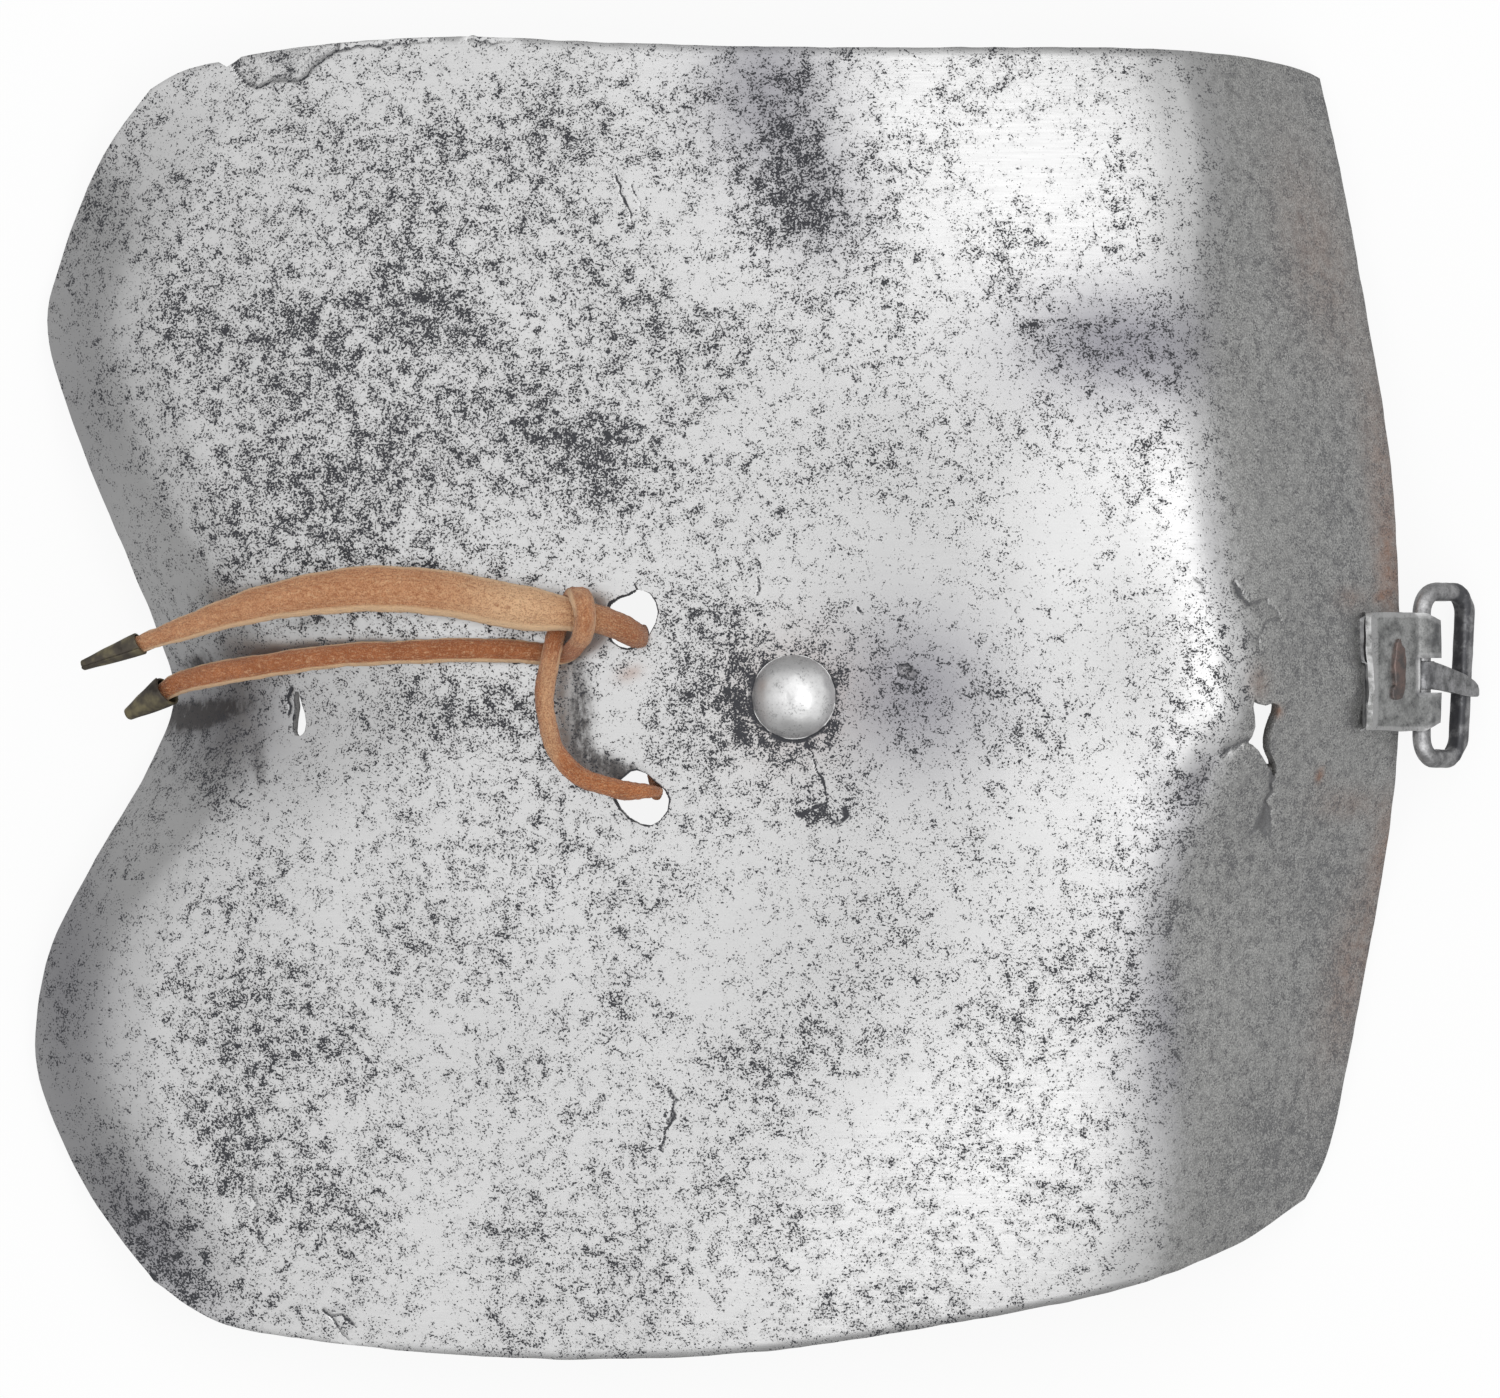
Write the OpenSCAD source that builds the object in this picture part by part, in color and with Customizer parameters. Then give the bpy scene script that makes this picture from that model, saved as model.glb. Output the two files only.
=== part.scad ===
// Elbow plate (couter) of a plate armour, in millimetres.
// It lies as laid on a table: outer face up, hollow side down, the buckle towards +X and the
// notched wing towards -X. The origin is the middle of its base on the table.

/* [Plate] */
// Width across the elbow, from the tips of the wing to the buckle's rim
plate_w = 184; // [160:1:210]
// Length along the arm
plate_l = 178; // [155:1:200]
// Thickness of the sheet
plate_t = 1.4; // [1.0:0.1:2.0]
// Height of the crest's outer face above the table
crest_h = 41.8; // [40:0.1:46]
// Place of the crest across the plate
crest_x = 34; // [25:1:40]
// Radius of the back, bent across the elbow
back_r = 290; // [260:5:340]
// Steepness of the turned side, as an angle from the level
turn_angle = 48.2; // [44:0.1:50]
// Softness of the fold between the back and the turned side
fold_soft = 2.2; // [1.6:0.1:4]
// Extra height of the elbow's point
point_h = 1.2; // [0:0.1:3]

/* [Wing] */
// How far the wing's lobes roll down at their edge
lobe_roll = 7; // [3:0.5:9]
// Width of that roll
lobe_roll_w = 16; // [10:1:24]
// Depth of the pinched crease at the notch
crease_depth = 10.5; // [5:0.5:12]
// Length of the crease, from the notch inwards
crease_l = 43; // [25:1:60]

/* [Holes] */
// Diameter of the two lace holes
lace_hole_d = 7.6; // [7:0.1:8.5]
// Length of the slit near the notch
slit_l = 5.9; // [3:0.1:7]

/* [Domed rivet] */
// Diameter of the rivet's head
head_d = 11.4; // [9:0.1:14]
// Height of the rivet's head
head_h = 3.6; // [2.5:0.1:5]
// Diameter of the rivet's shank
shank_d = 5; // [4:0.1:6]
// Diameter of the rove that it is closed over
rove_d = 10; // [8:0.5:13]
// Thickness of the rove
rove_t = 1.0; // [0.8:0.1:1.5]

/* [Buckle] */
// Width of the frame along its bars
frame_w = 25; // [24:0.5:27]
// Distance between the middles of the frame's two bars
bar_gap = 9.5; // [9:0.1:11]
// Diameter of the frame's bars
bar_d = 2.5; // [2.2:0.1:2.6]
// Radius of the frame's corners, to the middle of the bar
frame_corner_r = 3; // [2.6:0.1:4]
// Angle at which the frame hangs, from the level
frame_tilt = 54; // [50:1:56]
// Width of the folded chape
chape_w = 16; // [14:0.5:17]
// How far the chape reaches in from the rim
chape_l = 9.5; // [8:0.5:12]
// Thickness of the chape's sheet
sheet_t = 0.95; // [0.8:0.05:1.0]
// Width of the slot for the tongue
slot_w = 4.7; // [4.4:0.1:6]
// Width of the tongue where it goes round the bar
tongue_w = 3.5; // [2.5:0.1:3.8]
// Width of the tongue at its tip
tongue_tip_w = 1.5; // [1:0.1:2.5]

/* [Lace] */
// Width of the lace's flat upper end
wide_w = 6.2; // [5:0.1:6.4]
// Width of the lace's narrow lower end
narrow_w = 3.2; // [2.6:0.1:3.4]
// Width of the lace where it loops and passes the holes
loop_w = 2.3; // [2:0.1:2.5]
// Thickness of the leather
lace_t = 1.6; // [1.2:0.1:1.7]

/* [Hidden] */
$fn = 48;
eps = 0.01;
play = 0.05;

// Outline of the plate at its drawn size, seen from above
drawn_w = 184;
drawn_l = 178;
top_rim = [
    [-82, 82.5], [-76, 85.5], [-61, 88.2], [-42, 89.5], [-18, 88.6],
    [11, 88], [45, 88], [62, 87.2], [72, 85.6], [76, 84]
];
buckle_rim = [
    [74, -67.5], [77.5, -60], [81, -43], [84.5, -24], [86.3, -10], [86.8, 3],
    [86.5, 18], [85.2, 35], [81.5, 57], [78.3, 74], [76, 84]
];
bottom_rim = [
    [-81.5, -78.5], [-73, -84], [-60, -86.5], [-40, -88.5], [-20, -89],
    [2, -87.8], [27, -84], [48, -79.8], [64, -74], [74, -67.5]
];
wing_rim = [
    [-81.5, -78.5], [-90.5, -66.5], [-96.8, -52.5], [-97.4, -43], [-95.3, -33],
    [-90, -22.5], [-82.5, -9.5], [-78.9, 0], [-81, 9], [-86.3, 22],
    [-92, 36], [-96, 50], [-93.8, 60.5], [-88.5, 73.5], [-82, 82.5]
];
// Distance of the fold from the buckle's rim, as [place along the arm, distance]
fold_line = [
    [-90, 22], [-68, 23], [-45, 27], [-30, 30], [-14, 26.5],
    [3, 22], [30, 24], [57, 23.5], [75, 19.5], [90, 18]
];
// Widest point of the buckle's rim, and how it draws in towards both ends
rim_x = 86.8;
rim_y = 3;
rim_draw = 620;
// Curve along the arm: its amount at the middle, and how it grows towards the buckle
arm_curve = 0.0045;
arm_curve_growth = 0.000019;
// Middle of that curve, and how it shifts towards the buckle
arm_mid = 3.5;
arm_mid_shift = 0.05;
notch_x = -79;
crease_w0 = 6;
crease_w1 = 14;
point_x = 62;
point_r = 9;
cells_x = 48;
cells_y = 44;

// Places of the fittings on the plate
rivet_at = [4.9, 0.4];
upper_hole_at = [-16.8, 10.8];
lower_hole_at = [-15.6, -13.2];
slit_at = [-62, -1.8];
tear = [
    [67.2, -0.2], [68.6, -1.4], [69.4, -1.6], [68.4, -4.2], [68.2, -7.2], [66.2, -6.2],
    [66.9, -3.4]
];
frame_y = 3.3;
chape_y = 3.8;
chape_rivet_at = -4.2;
chape_rivet_y = 4;
chape_rivet_d = 2.6;
seat = 0.1;
layer_gap = 0.15;
slot_end = 0.3;
bar_out = 3.2;

// Ways that the flat side of the lace can face along its route
sky = [0, 0, 1];
ground = [0, 0, -1];
east = [1, 0, 0];
east_sky = [1, 0, 1];
south = [0, -1, 0];
south_ground = [0, -1, -1];

// Points of a smooth curve through p, with n steps in each span
function curve(p, n) = concat(
    [for (i = [0:len(p) - 2], k = [0:n - 1]) span(p, i, k / n)],
    [p[len(p) - 1]]
);
function span(p, i, t) =
    let (a = p[max(i - 1, 0)], b = p[i], c = p[i + 1], d = p[min(i + 2, len(p) - 1)])
    0.5 * (2 * b + (c - a) * t + (2 * a - 5 * b + 4 * c - d) * t * t
        + (3 * b - a - 3 * c + d) * t * t * t);

// Running length along a list of points
function lengths(p) =
    [for (i = 0, s = 0; i < len(p); i = i + 1, s = s + (i < len(p) ? norm(p[i] - p[i - 1]) : 0)) s];

// One side of the outline as two tables, x and y against the share of its length
function side(p) =
    let (c = curve(p, 8), s = lengths(c), whole = s[len(s) - 1])
    [for (axis = [0, 1]) [for (i = [0:len(c) - 1]) [s[i] / whole, c[i][axis]]]];
function on_side(s, t) = [lookup(t, s[0]), lookup(t, s[1])];

top_side = side(top_rim);
buckle_side = side(buckle_rim);
bottom_side = side(bottom_rim);
wing_side = side(wing_rim);

// A point of the plate seen from above, u across from the wing and v along from the bottom
function plan(u, v) =
    let (
        b0 = bottom_rim[0],
        b1 = bottom_rim[len(bottom_rim) - 1],
        t0 = top_rim[0],
        t1 = top_rim[len(top_rim) - 1],
        p = (1 - v) * on_side(bottom_side, u) + v * on_side(top_side, u)
            + (1 - u) * on_side(wing_side, v) + u * on_side(buckle_side, v)
            - (1 - u) * (1 - v) * b0 - u * (1 - v) * b1 - (1 - u) * v * t0 - u * v * t1
    )
    [p.x * plate_w / drawn_w, p.y * plate_l / drawn_l];

wing_x = [for (p = curve(wing_rim, 6)) [p.y, p.x]];
fold_s = curve(fold_line, 6);

// Height of the outer face over a point, made of the back's two curves, the turned side,
// the elbow's point, the lobes' roll and the crease
function height(p) =
    let (
        x = p.x * drawn_w / plate_w,
        y = p.y * drawn_l / plate_l,
        s = rim_x - pow(y - rim_y, 2) / rim_draw - x,
        s0 = lookup(y, fold_s),
        turned = tan(turn_angle) * fold_soft * ln(1 + exp((s0 - s) / fold_soft)),
        along = (arm_curve + arm_curve_growth * x) / 2,
        arm_y = y - arm_mid - arm_mid_shift * x,
        edge = min(max(1 - (x - lookup(y, wing_x)) / lobe_roll_w, 0), 1),
        fade = ease((84 - abs(y)) / 24),
        k = min(max((notch_x + crease_l - x) / crease_l, 0), 1.4),
        crease_w = crease_w0 + (crease_w1 - crease_w0) * k
    )
    crest_h - pow(x - crest_x, 2) / (2 * back_r) - along * arm_y * arm_y - turned
        + point_h * exp(-(pow(x - point_x, 2) + pow(y - rim_y, 2)) / (2 * point_r * point_r))
        - lobe_roll * edge * edge * fade
        - crease_depth * pow(k, 1.8) * exp(-pow(y / crease_w, 2));
function ease(t) = let (c = min(max(t, 0), 1)) c * c * (3 - 2 * c);

// Direction straight out of the plate at a point
function outward(p) =
    let (
        h = 0.2,
        dx = (height(p + [h, 0]) - height(p - [h, 0])) / (2 * h),
        dy = (height(p + [0, h]) - height(p - [0, h])) / (2 * h),
        n = [-dx, -dy, 1]
    )
    n / norm(n);
function on_plate(p) = [p.x, p.y, height(p)];

// Stands its children on the plate's outer face, with +Z straight out of it
module stand_on(p) {
    n = outward(p);
    translate(on_plate(p))
        rotate([0, acos(n.z), atan2(n.y, n.x)])
            children();
}

// The buckle's seat: the rim's middle, with +X down the turned side and +Z out of it
seat_run = 5.8;
rim_at = [rim_x * plate_w / drawn_w, chape_y];
seat_slope = atan((height(rim_at - [seat_run, 0]) - height(rim_at)) / seat_run);
module at_rim() {
    translate([rim_at.x, 0, height(rim_at)])
        rotate([0, seat_slope, 0])
            translate([0, 0, seat])
                children();
}
bar_up = sheet_t + layer_gap / 2;
bar_r = bar_d / 2;
knuckle_r = bar_r + play + sheet_t;
bar_at = [rim_at.x, 0, height(rim_at)]
    + [cos(seat_slope), 0, -sin(seat_slope)] * bar_out
    + [sin(seat_slope), 0, cos(seat_slope)] * (bar_up + seat);
module at_bar() {
    translate([bar_at.x, frame_y, bar_at.z])
        rotate([0, frame_tilt, 0])
            children();
}

// Extrudes a side view, drawn in X and Z, over a width about y
module across(w, y = 0) {
    translate([0, y + w / 2, 0])
        rotate([90, 0, 0])
            linear_extrude(w)
                children();
}

// Closed skin over rings of equally many points
function ring_faces(n, m) = concat(
    [for (i = [0:n - 2], j = [0:m - 1]) [i * m + j, i * m + (j + 1) % m, (i + 1) * m + j]],
    [for (i = [0:n - 2], j = [0:m - 1])
        [i * m + (j + 1) % m, (i + 1) * m + (j + 1) % m, (i + 1) * m + j]],
    [for (j = [1:m - 2]) [0, j + 1, j]],
    [for (j = [1:m - 2]) [(n - 1) * m, (n - 1) * m + j, (n - 1) * m + j + 1]]
);

// A strip of leather along a route of [place, width, thickness, way its flat side faces]
section = 8;
function strip_ring(c, i) =
    let (
        a = c[max(i - 1, 0)],
        b = c[min(i + 1, len(c) - 1)],
        t = (b[0] - a[0]) / norm(b[0] - a[0]),
        w = cross(c[i][3], t),
        wide = w / norm(w),
        flat = cross(t, wide)
    )
    [for (k = [0:section - 1])
        let (q = 360 * (k + 0.5) / section)
        c[i][0] + wide * (c[i][1] / 2 / cos(180 / section) * cos(q))
            + flat * (c[i][2] / 2 / cos(180 / section) * sin(q))];
module strip(route, steps = 1) {
    c = curve(route, steps);
    points = [for (i = [0:len(c) - 1]) each strip_ring(c, i)];
    polyhedron(points, ring_faces(len(c), section));
}

module elbow_plate() {
    rows = cells_y + 1;
    outer = [for (i = [0:cells_x], j = [0:cells_y]) on_plate(plan(i / cells_x, j / cells_y))];
    inner = [for (p = outer) p - plate_t * outward([p.x, p.y])];
    n = len(outer);
    cells = [for (i = [0:cells_x - 1], j = [0:cells_y - 1]) i * rows + j];
    edge = concat(
        [for (i = [0:cells_x - 1]) i * rows],
        [for (j = [0:cells_y - 1]) cells_x * rows + j],
        [for (i = [cells_x:-1:1]) i * rows + cells_y],
        [for (j = [cells_y:-1:1]) j]
    );
    m = len(edge);
    faces = concat(
        [for (a = cells) [a, a + 1, a + rows + 1]],
        [for (a = cells) [a, a + rows + 1, a + rows]],
        [for (a = cells) [n + a, n + a + rows + 1, n + a + 1]],
        [for (a = cells) [n + a, n + a + rows, n + a + rows + 1]],
        [for (k = [0:m - 1]) [edge[k], edge[(k + 1) % m], n + edge[(k + 1) % m]]],
        [for (k = [0:m - 1]) [edge[k], n + edge[(k + 1) % m], n + edge[k]]]
    );
    color("silver")
        difference() {
            polyhedron(concat(outer, inner), faces);
            stand_on(rivet_at)
                cylinder(d = shank_d + 2 * play, h = 12, center = true);
            stand_on(upper_hole_at)
                cylinder(d = lace_hole_d, h = 12, center = true);
            stand_on(lower_hole_at)
                cylinder(d = lace_hole_d, h = 12, center = true);
            stand_on(slit_at)
                slit();
            translate([0, 0, 20])
                linear_extrude(25)
                    polygon(tear);
            at_rim()
                translate([chape_rivet_at, chape_rivet_y, 0])
                    cylinder(d = chape_rivet_d + 2 * play, h = 8, center = true);
        }
}

// A narrow drop-shaped opening, wider at its lower end
module slit() {
    wide_end = 2.3;
    narrow_end = 0.9;
    translate([0, 0, -6])
        linear_extrude(12)
            polygon([
                [-narrow_end / 2, slit_l / 2],
                [narrow_end / 2, slit_l / 2],
                [wide_end / 2, -slit_l / 4],
                [wide_end / 4, -slit_l / 2],
                [-wide_end / 4, -slit_l / 2],
                [-wide_end / 2, -slit_l / 4]
            ]);
}

// How far the hollow inner face falls away under the flat rove
rove_sink = plate_t + pow(rove_d / 2, 2) * 0.0045 + play;

module dome_rivet() {
    ball_r = (pow(head_d / 2, 2) + head_h * head_h) / (2 * head_h);
    tail_d = shank_d + 2.4;
    tail_h = 1.4;
    color("gainsboro")
        stand_on(rivet_at) {
            translate([0, 0, play])
                rotate_extrude()
                    intersection() {
                        translate([0, head_h - ball_r])
                            circle(ball_r);
                        square([head_d, head_h]);
                    }
            translate([0, 0, -rove_sink - rove_t - tail_h / 2])
                cylinder(d = shank_d, h = rove_sink + rove_t + tail_h / 2 + play + eps);
            translate([0, 0, -rove_sink - rove_t - play - tail_h])
                cylinder(d1 = shank_d - 0.8, d2 = tail_d, h = tail_h);
        }
}

module rivet_rove() {
    color("gray")
        stand_on(rivet_at)
            translate([0, 0, -rove_sink - rove_t])
                difference() {
                    cylinder(d = rove_d, h = rove_t);
                    translate([0, 0, -1])
                        cylinder(d = shank_d + 2 * play, h = rove_t + 2);
                }
}

// The chape: one strip folded round the buckle's bar, both layers on the plate's outer face
module buckle_chape() {
    pinch = 0.9;
    turn = 130;
    mid = bar_up;
    outer_r = knuckle_r - 0.005;
    inner_r = bar_r;
    color("darkgray")
        at_rim()
            difference() {
                across(chape_w, chape_y)
                    difference() {
                        union() {
                            translate([bar_out, mid])
                                circle(knuckle_r);
                            polygon([
                                [-chape_l, 0],
                                [0.6, 0],
                                [bar_out + outer_r * cos(turn), mid - outer_r * sin(turn)],
                                [bar_out + outer_r * cos(turn), mid + outer_r * sin(turn)],
                                [0.6, 2 * mid],
                                [-chape_l, 2 * mid]
                            ]);
                        }
                        polygon([
                            [-chape_l - 1, mid - layer_gap / 2],
                            [pinch, mid - layer_gap / 2],
                            [bar_out + inner_r * cos(turn), mid - inner_r * sin(turn)],
                            [bar_out + inner_r * cos(turn), mid + inner_r * sin(turn)],
                            [pinch, mid + layer_gap / 2],
                            [-chape_l - 1, mid + layer_gap / 2]
                        ]);
                    }
                translate([bar_out, chape_y, mid])
                    rotate([90, 0, 0])
                        cylinder(r = bar_r + play, h = chape_w + 2, center = true);
                translate([slot_end, frame_y - slot_w / 2, -5])
                    cube([10, slot_w, 12]);
                translate([chape_rivet_at, chape_rivet_y, -1])
                    cylinder(d = chape_rivet_d + 2 * play, h = 6);
            }
}

// The chape's rivet: a long hammered head outside, a round tail inside the plate
module chape_rivet() {
    head_y = 8.8;
    head_x = 3.2;
    head_t = 1.1;
    tail_t = 0.9;
    top = 2 * bar_up + play;
    low = -seat - plate_t - 4 * play;
    color("rosybrown")
        at_rim()
            translate([chape_rivet_at, chape_rivet_y, 0]) {
                translate([0, 0, top])
                    linear_extrude(head_t)
                        polygon([
                            [0.1 * head_x, 0.5 * head_y],
                            [0.5 * head_x, 0.32 * head_y],
                            [0.46 * head_x, -0.3 * head_y],
                            [0.3 * head_x, -0.5 * head_y],
                            [-0.5 * head_x, -0.44 * head_y],
                            [-0.3 * head_x, -0.2 * head_y],
                            [-0.4 * head_x, 0.1 * head_y],
                            [-0.26 * head_x, 0.4 * head_y]
                        ]);
                translate([0, 0, low - tail_t / 2])
                    cylinder(d = chape_rivet_d, h = top - low + tail_t / 2 + eps);
                translate([0, 0, low - tail_t])
                    cylinder(d1 = chape_rivet_d + 0.6, d2 = chape_rivet_d + 2, h = tail_t);
            }
}

// One bar of the frame, lying along Y or, turned, along X
module bar(l) {
    rotate([90, 0, 0])
        cylinder(d = bar_d, h = l, center = true);
}

module buckle_frame() {
    half_w = (frame_w - bar_d) / 2;
    straight_y = 2 * (half_w - frame_corner_r);
    straight_x = bar_gap - 2 * frame_corner_r;
    color("dimgray")
        at_bar() {
            for (x = [0, bar_gap])
                translate([x, 0, 0])
                    bar(straight_y);
            for (y = [-half_w, half_w])
                translate([bar_gap / 2, y, 0])
                    rotate([0, 0, 90])
                        bar(straight_x);
            for (q = [0:3])
                translate([bar_gap / 2, 0, 0])
                    mirror([q % 2, 0, 0])
                        mirror([0, floor(q / 2), 0])
                            translate([bar_gap / 2 - frame_corner_r, half_w - frame_corner_r, 0])
                                rotate_extrude(angle = 90)
                                    translate([frame_corner_r, 0])
                                        circle(d = bar_d);
        }
}

// The tongue: a ring round the inner bar and a prong that lies on the outer one
module buckle_tongue() {
    ring_r = bar_r + play + 0.9;
    low = bar_r + play;
    tip = bar_gap + bar_r + 1.3;
    lean = -2.3;
    color("slategray")
        at_bar()
            difference() {
                intersection() {
                    across(tongue_w + 6)
                        union() {
                            circle(ring_r);
                            polygon([
                                [0, low],
                                [bar_gap + 0.6, low],
                                [tip, low - 0.5],
                                [tip, low + 0.1],
                                [bar_gap, ring_r - 0.01],
                                [0, ring_r - 0.01]
                            ]);
                        }
                    translate([0, 0, -5])
                        linear_extrude(12)
                            polygon([
                                [-ring_r - 1, -tongue_w / 2],
                                [ring_r, -tongue_w / 2],
                                [tip + eps, lean - tongue_tip_w / 2],
                                [tip + eps, lean + tongue_tip_w / 2],
                                [ring_r, tongue_w / 2],
                                [-ring_r - 1, tongue_w / 2]
                            ]);
                }
                bar(tongue_w + 8);
                rotate([90, 0, 0])
                    cylinder(r = bar_r + play, h = tongue_w + 2, center = true);
            }
}

// The lace is one thong. It comes up through both holes, and its two ends run to the notch
wide_route = [
    [[-15.4, 9.0, 36.8], loop_w, lace_t, east],
    [[-15.4, 9.0, 38.0], loop_w, lace_t, east],
    [[-16.6, 9.4, 39.8], 2.8, lace_t, east_sky],
    [[-19.0, 10.2, 40.5], 3.2, lace_t, sky],
    [[-21.7, 10.9, 40.8], 3.6, lace_t, sky],
    [[-24.6, 11.4, 40.7], 4.8, lace_t, sky],
    [[-29.0, 12.0, 39.6], 6.0, lace_t, sky],
    [[-35.0, 13.0, 37.6], wide_w, lace_t, sky],
    [[-41.5, 14.2, 35.2], wide_w, lace_t, sky],
    [[-47.5, 14.8, 33.4], wide_w, lace_t, sky],
    [[-53.3, 14.9, 31.8], wide_w, lace_t, sky],
    [[-60.0, 14.2, 29.6], 5.6, lace_t, sky],
    [[-66.1, 13.0, 27.2], 4.8, lace_t, sky],
    [[-71.5, 11.7, 24.7], 3.9, lace_t, sky],
    [[-76.5, 10.1, 22.0], 3.0, lace_t, sky],
    [[-81.1, 8.4, 19.2], 2.3, 1.5, sky],
    [[-84.2, 7.2, 17.4], 2.0, 1.4, sky]
];
narrow_route = [
    [[-13.6, -12.4, 36.6], loop_w, lace_t, east],
    [[-13.6, -12.4, 37.8], loop_w, lace_t, east],
    [[-15.2, -12.2, 38.9], loop_w, lace_t, east_sky],
    [[-18.6, -11.8, 38.2], loop_w, lace_t, sky],
    [[-24.1, -9.9, 36.8], loop_w, lace_t, sky],
    [[-27.3, -6.6, 36.3], loop_w, lace_t, sky],
    [[-28.7, -1.4, 36.3], loop_w, lace_t, sky],
    [[-28.5, 2.0, 37.2], loop_w, lace_t, sky],
    [[-28.2, 4.6, 37.9], loop_w, lace_t, sky],
    [[-27.5, 8.0, 38.0], loop_w, lace_t, sky],
    [[-26.4, 11.6, 38.1], loop_w, lace_t, sky],
    [[-25.6, 14.4, 38.4], loop_w, lace_t, [0, -1, 1]],
    [[-24.8, 15.7, 40.2], loop_w, lace_t, south],
    [[-24.3, 14.6, 42.1], loop_w, lace_t, south_ground],
    [[-24.4, 11.6, 42.6], loop_w, lace_t, ground],
    [[-24.8, 8.8, 42.0], loop_w, lace_t, ground],
    [[-25.1, 7.0, 39.9], loop_w, lace_t, [0, 1, -1]],
    [[-25.7, 5.7, 37.4], loop_w, lace_t, [0, 1, -1]],
    [[-27.5, 5.0, 36.2], 2.6, lace_t, ground],
    [[-32.0, 6.2, 35.3], 3.0, lace_t, ground],
    [[-37.0, 6.7, 34.4], narrow_w, lace_t, ground],
    [[-41.5, 6.5, 33.3], narrow_w, lace_t, ground],
    [[-47.5, 6.4, 31.6], narrow_w, lace_t, ground],
    [[-53.3, 6.2, 29.5], narrow_w, lace_t, ground],
    [[-60.0, 5.5, 26.5], narrow_w, lace_t, ground],
    [[-66.1, 4.6, 23.3], narrow_w, lace_t, ground],
    [[-71.5, 3.7, 19.9], narrow_w, lace_t, ground],
    [[-77.8, 2.3, 15.3], 3.0, lace_t, ground],
    [[-80.5, 0.7, 13.4], 2.5, 1.4, ground]
];
bridge_route = [
    [[-15.4, 9.0, 36.6], loop_w, lace_t, east],
    [[-15.4, 8.9, 35.6], loop_w, lace_t, east],
    [[-15.3, 7.8, 34.7], loop_w, lace_t, [1, 0, -1]],
    [[-15.1, 6.0, 34.6], loop_w, lace_t, ground],
    [[-14.6, 1.0, 35.0], loop_w, lace_t, ground],
    [[-14.1, -4.0, 35.0], loop_w, lace_t, ground],
    [[-13.7, -9.4, 34.5], loop_w, lace_t, ground],
    [[-13.6, -11.2, 34.6], loop_w, lace_t, [1, 0, -1]],
    [[-13.6, -12.2, 35.4], loop_w, lace_t, east],
    [[-13.6, -12.4, 36.3], loop_w, lace_t, east]
];
module lace_wide_end() {
    color("peru")
        strip(wide_route, 2);
}
module lace_narrow_end() {
    color("sienna")
        strip(narrow_route);
}
module lace_bridge() {
    color("peru")
        strip(bridge_route);
}

// A metal tip of rolled sheet: a cone with a socket for the lace's end
module aglet(mouth, tip, mouth_d, tip_d) {
    d = tip - mouth;
    l = norm(d);
    wall = 0.4;
    socket = 3;
    socket_end_d = mouth_d + (tip_d - mouth_d) * socket / l - 2 * wall;
    translate(mouth)
        rotate([0, acos(d.z / l), atan2(d.y, d.x)])
            difference() {
                union() {
                    cylinder(d1 = mouth_d, d2 = tip_d, h = l - tip_d / 2);
                    translate([0, 0, l - tip_d / 2])
                        sphere(d = tip_d);
                }
                translate([0, 0, -eps])
                    cylinder(d1 = mouth_d - 2 * wall, d2 = socket_end_d, h = socket);
            }
}
module aglet_upper() {
    color("dimgray")
        aglet([-83.2, 7.6, 18.0], [-91, 4.7, 13.5], 3.4, 1.4);
}
module aglet_lower() {
    color("dimgray")
        aglet([-79.6, 1.2, 14.0], [-84.9, -2, 10.2], 4.6, 1.6);
}

elbow_plate();
dome_rivet();
rivet_rove();
buckle_chape();
chape_rivet();
buckle_frame();
buckle_tongue();
lace_wide_end();
lace_narrow_end();
lace_bridge();
aglet_upper();
aglet_lower();
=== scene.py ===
"""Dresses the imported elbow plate: worn steel sheet, forged fittings, leather lace and a studio."""

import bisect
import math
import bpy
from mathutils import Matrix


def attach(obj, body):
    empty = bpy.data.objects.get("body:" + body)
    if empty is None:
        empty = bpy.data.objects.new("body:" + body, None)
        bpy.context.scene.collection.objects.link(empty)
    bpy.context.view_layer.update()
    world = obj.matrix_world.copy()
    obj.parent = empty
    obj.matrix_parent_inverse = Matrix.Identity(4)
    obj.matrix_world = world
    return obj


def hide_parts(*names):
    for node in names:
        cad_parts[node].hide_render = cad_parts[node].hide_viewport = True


bl_info = {
    "name": "Elbow Plate Dressing",
    "version": (1, 0, 0),
    "blender": (4, 5, 0),
    "location": "View3D > Sidebar > Elbow Plate",
    "description": "Builds the worn sheet, fittings, lace and studio of an elbow plate",
    "category": "Mesh",
}

import bmesh
import bpy
from bpy.props import FloatProperty, FloatVectorProperty, IntProperty, PointerProperty
from mathutils import Matrix, Vector, noise

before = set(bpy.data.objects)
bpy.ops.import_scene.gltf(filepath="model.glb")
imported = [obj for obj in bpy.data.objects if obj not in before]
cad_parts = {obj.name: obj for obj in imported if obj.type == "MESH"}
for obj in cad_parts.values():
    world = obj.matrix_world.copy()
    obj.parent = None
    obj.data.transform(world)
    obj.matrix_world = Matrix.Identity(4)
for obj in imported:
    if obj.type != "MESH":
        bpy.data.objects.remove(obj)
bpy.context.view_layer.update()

# Shapes are drawn in millimetres and brought to metres when a piece is finished
MM = 0.001
SKY, GROUND = (0, 0, 1), (0, 0, -1)
EAST, EAST_SKY, EAST_GROUND = (1, 0, 0), (1, 0, 1), (1, 0, -1)
SOUTH, SOUTH_SKY, SOUTH_GROUND = (0, -1, 0), (0, -1, 1), (0, -1, -1)
NORTH_GROUND = (0, 1, -1)


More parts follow.
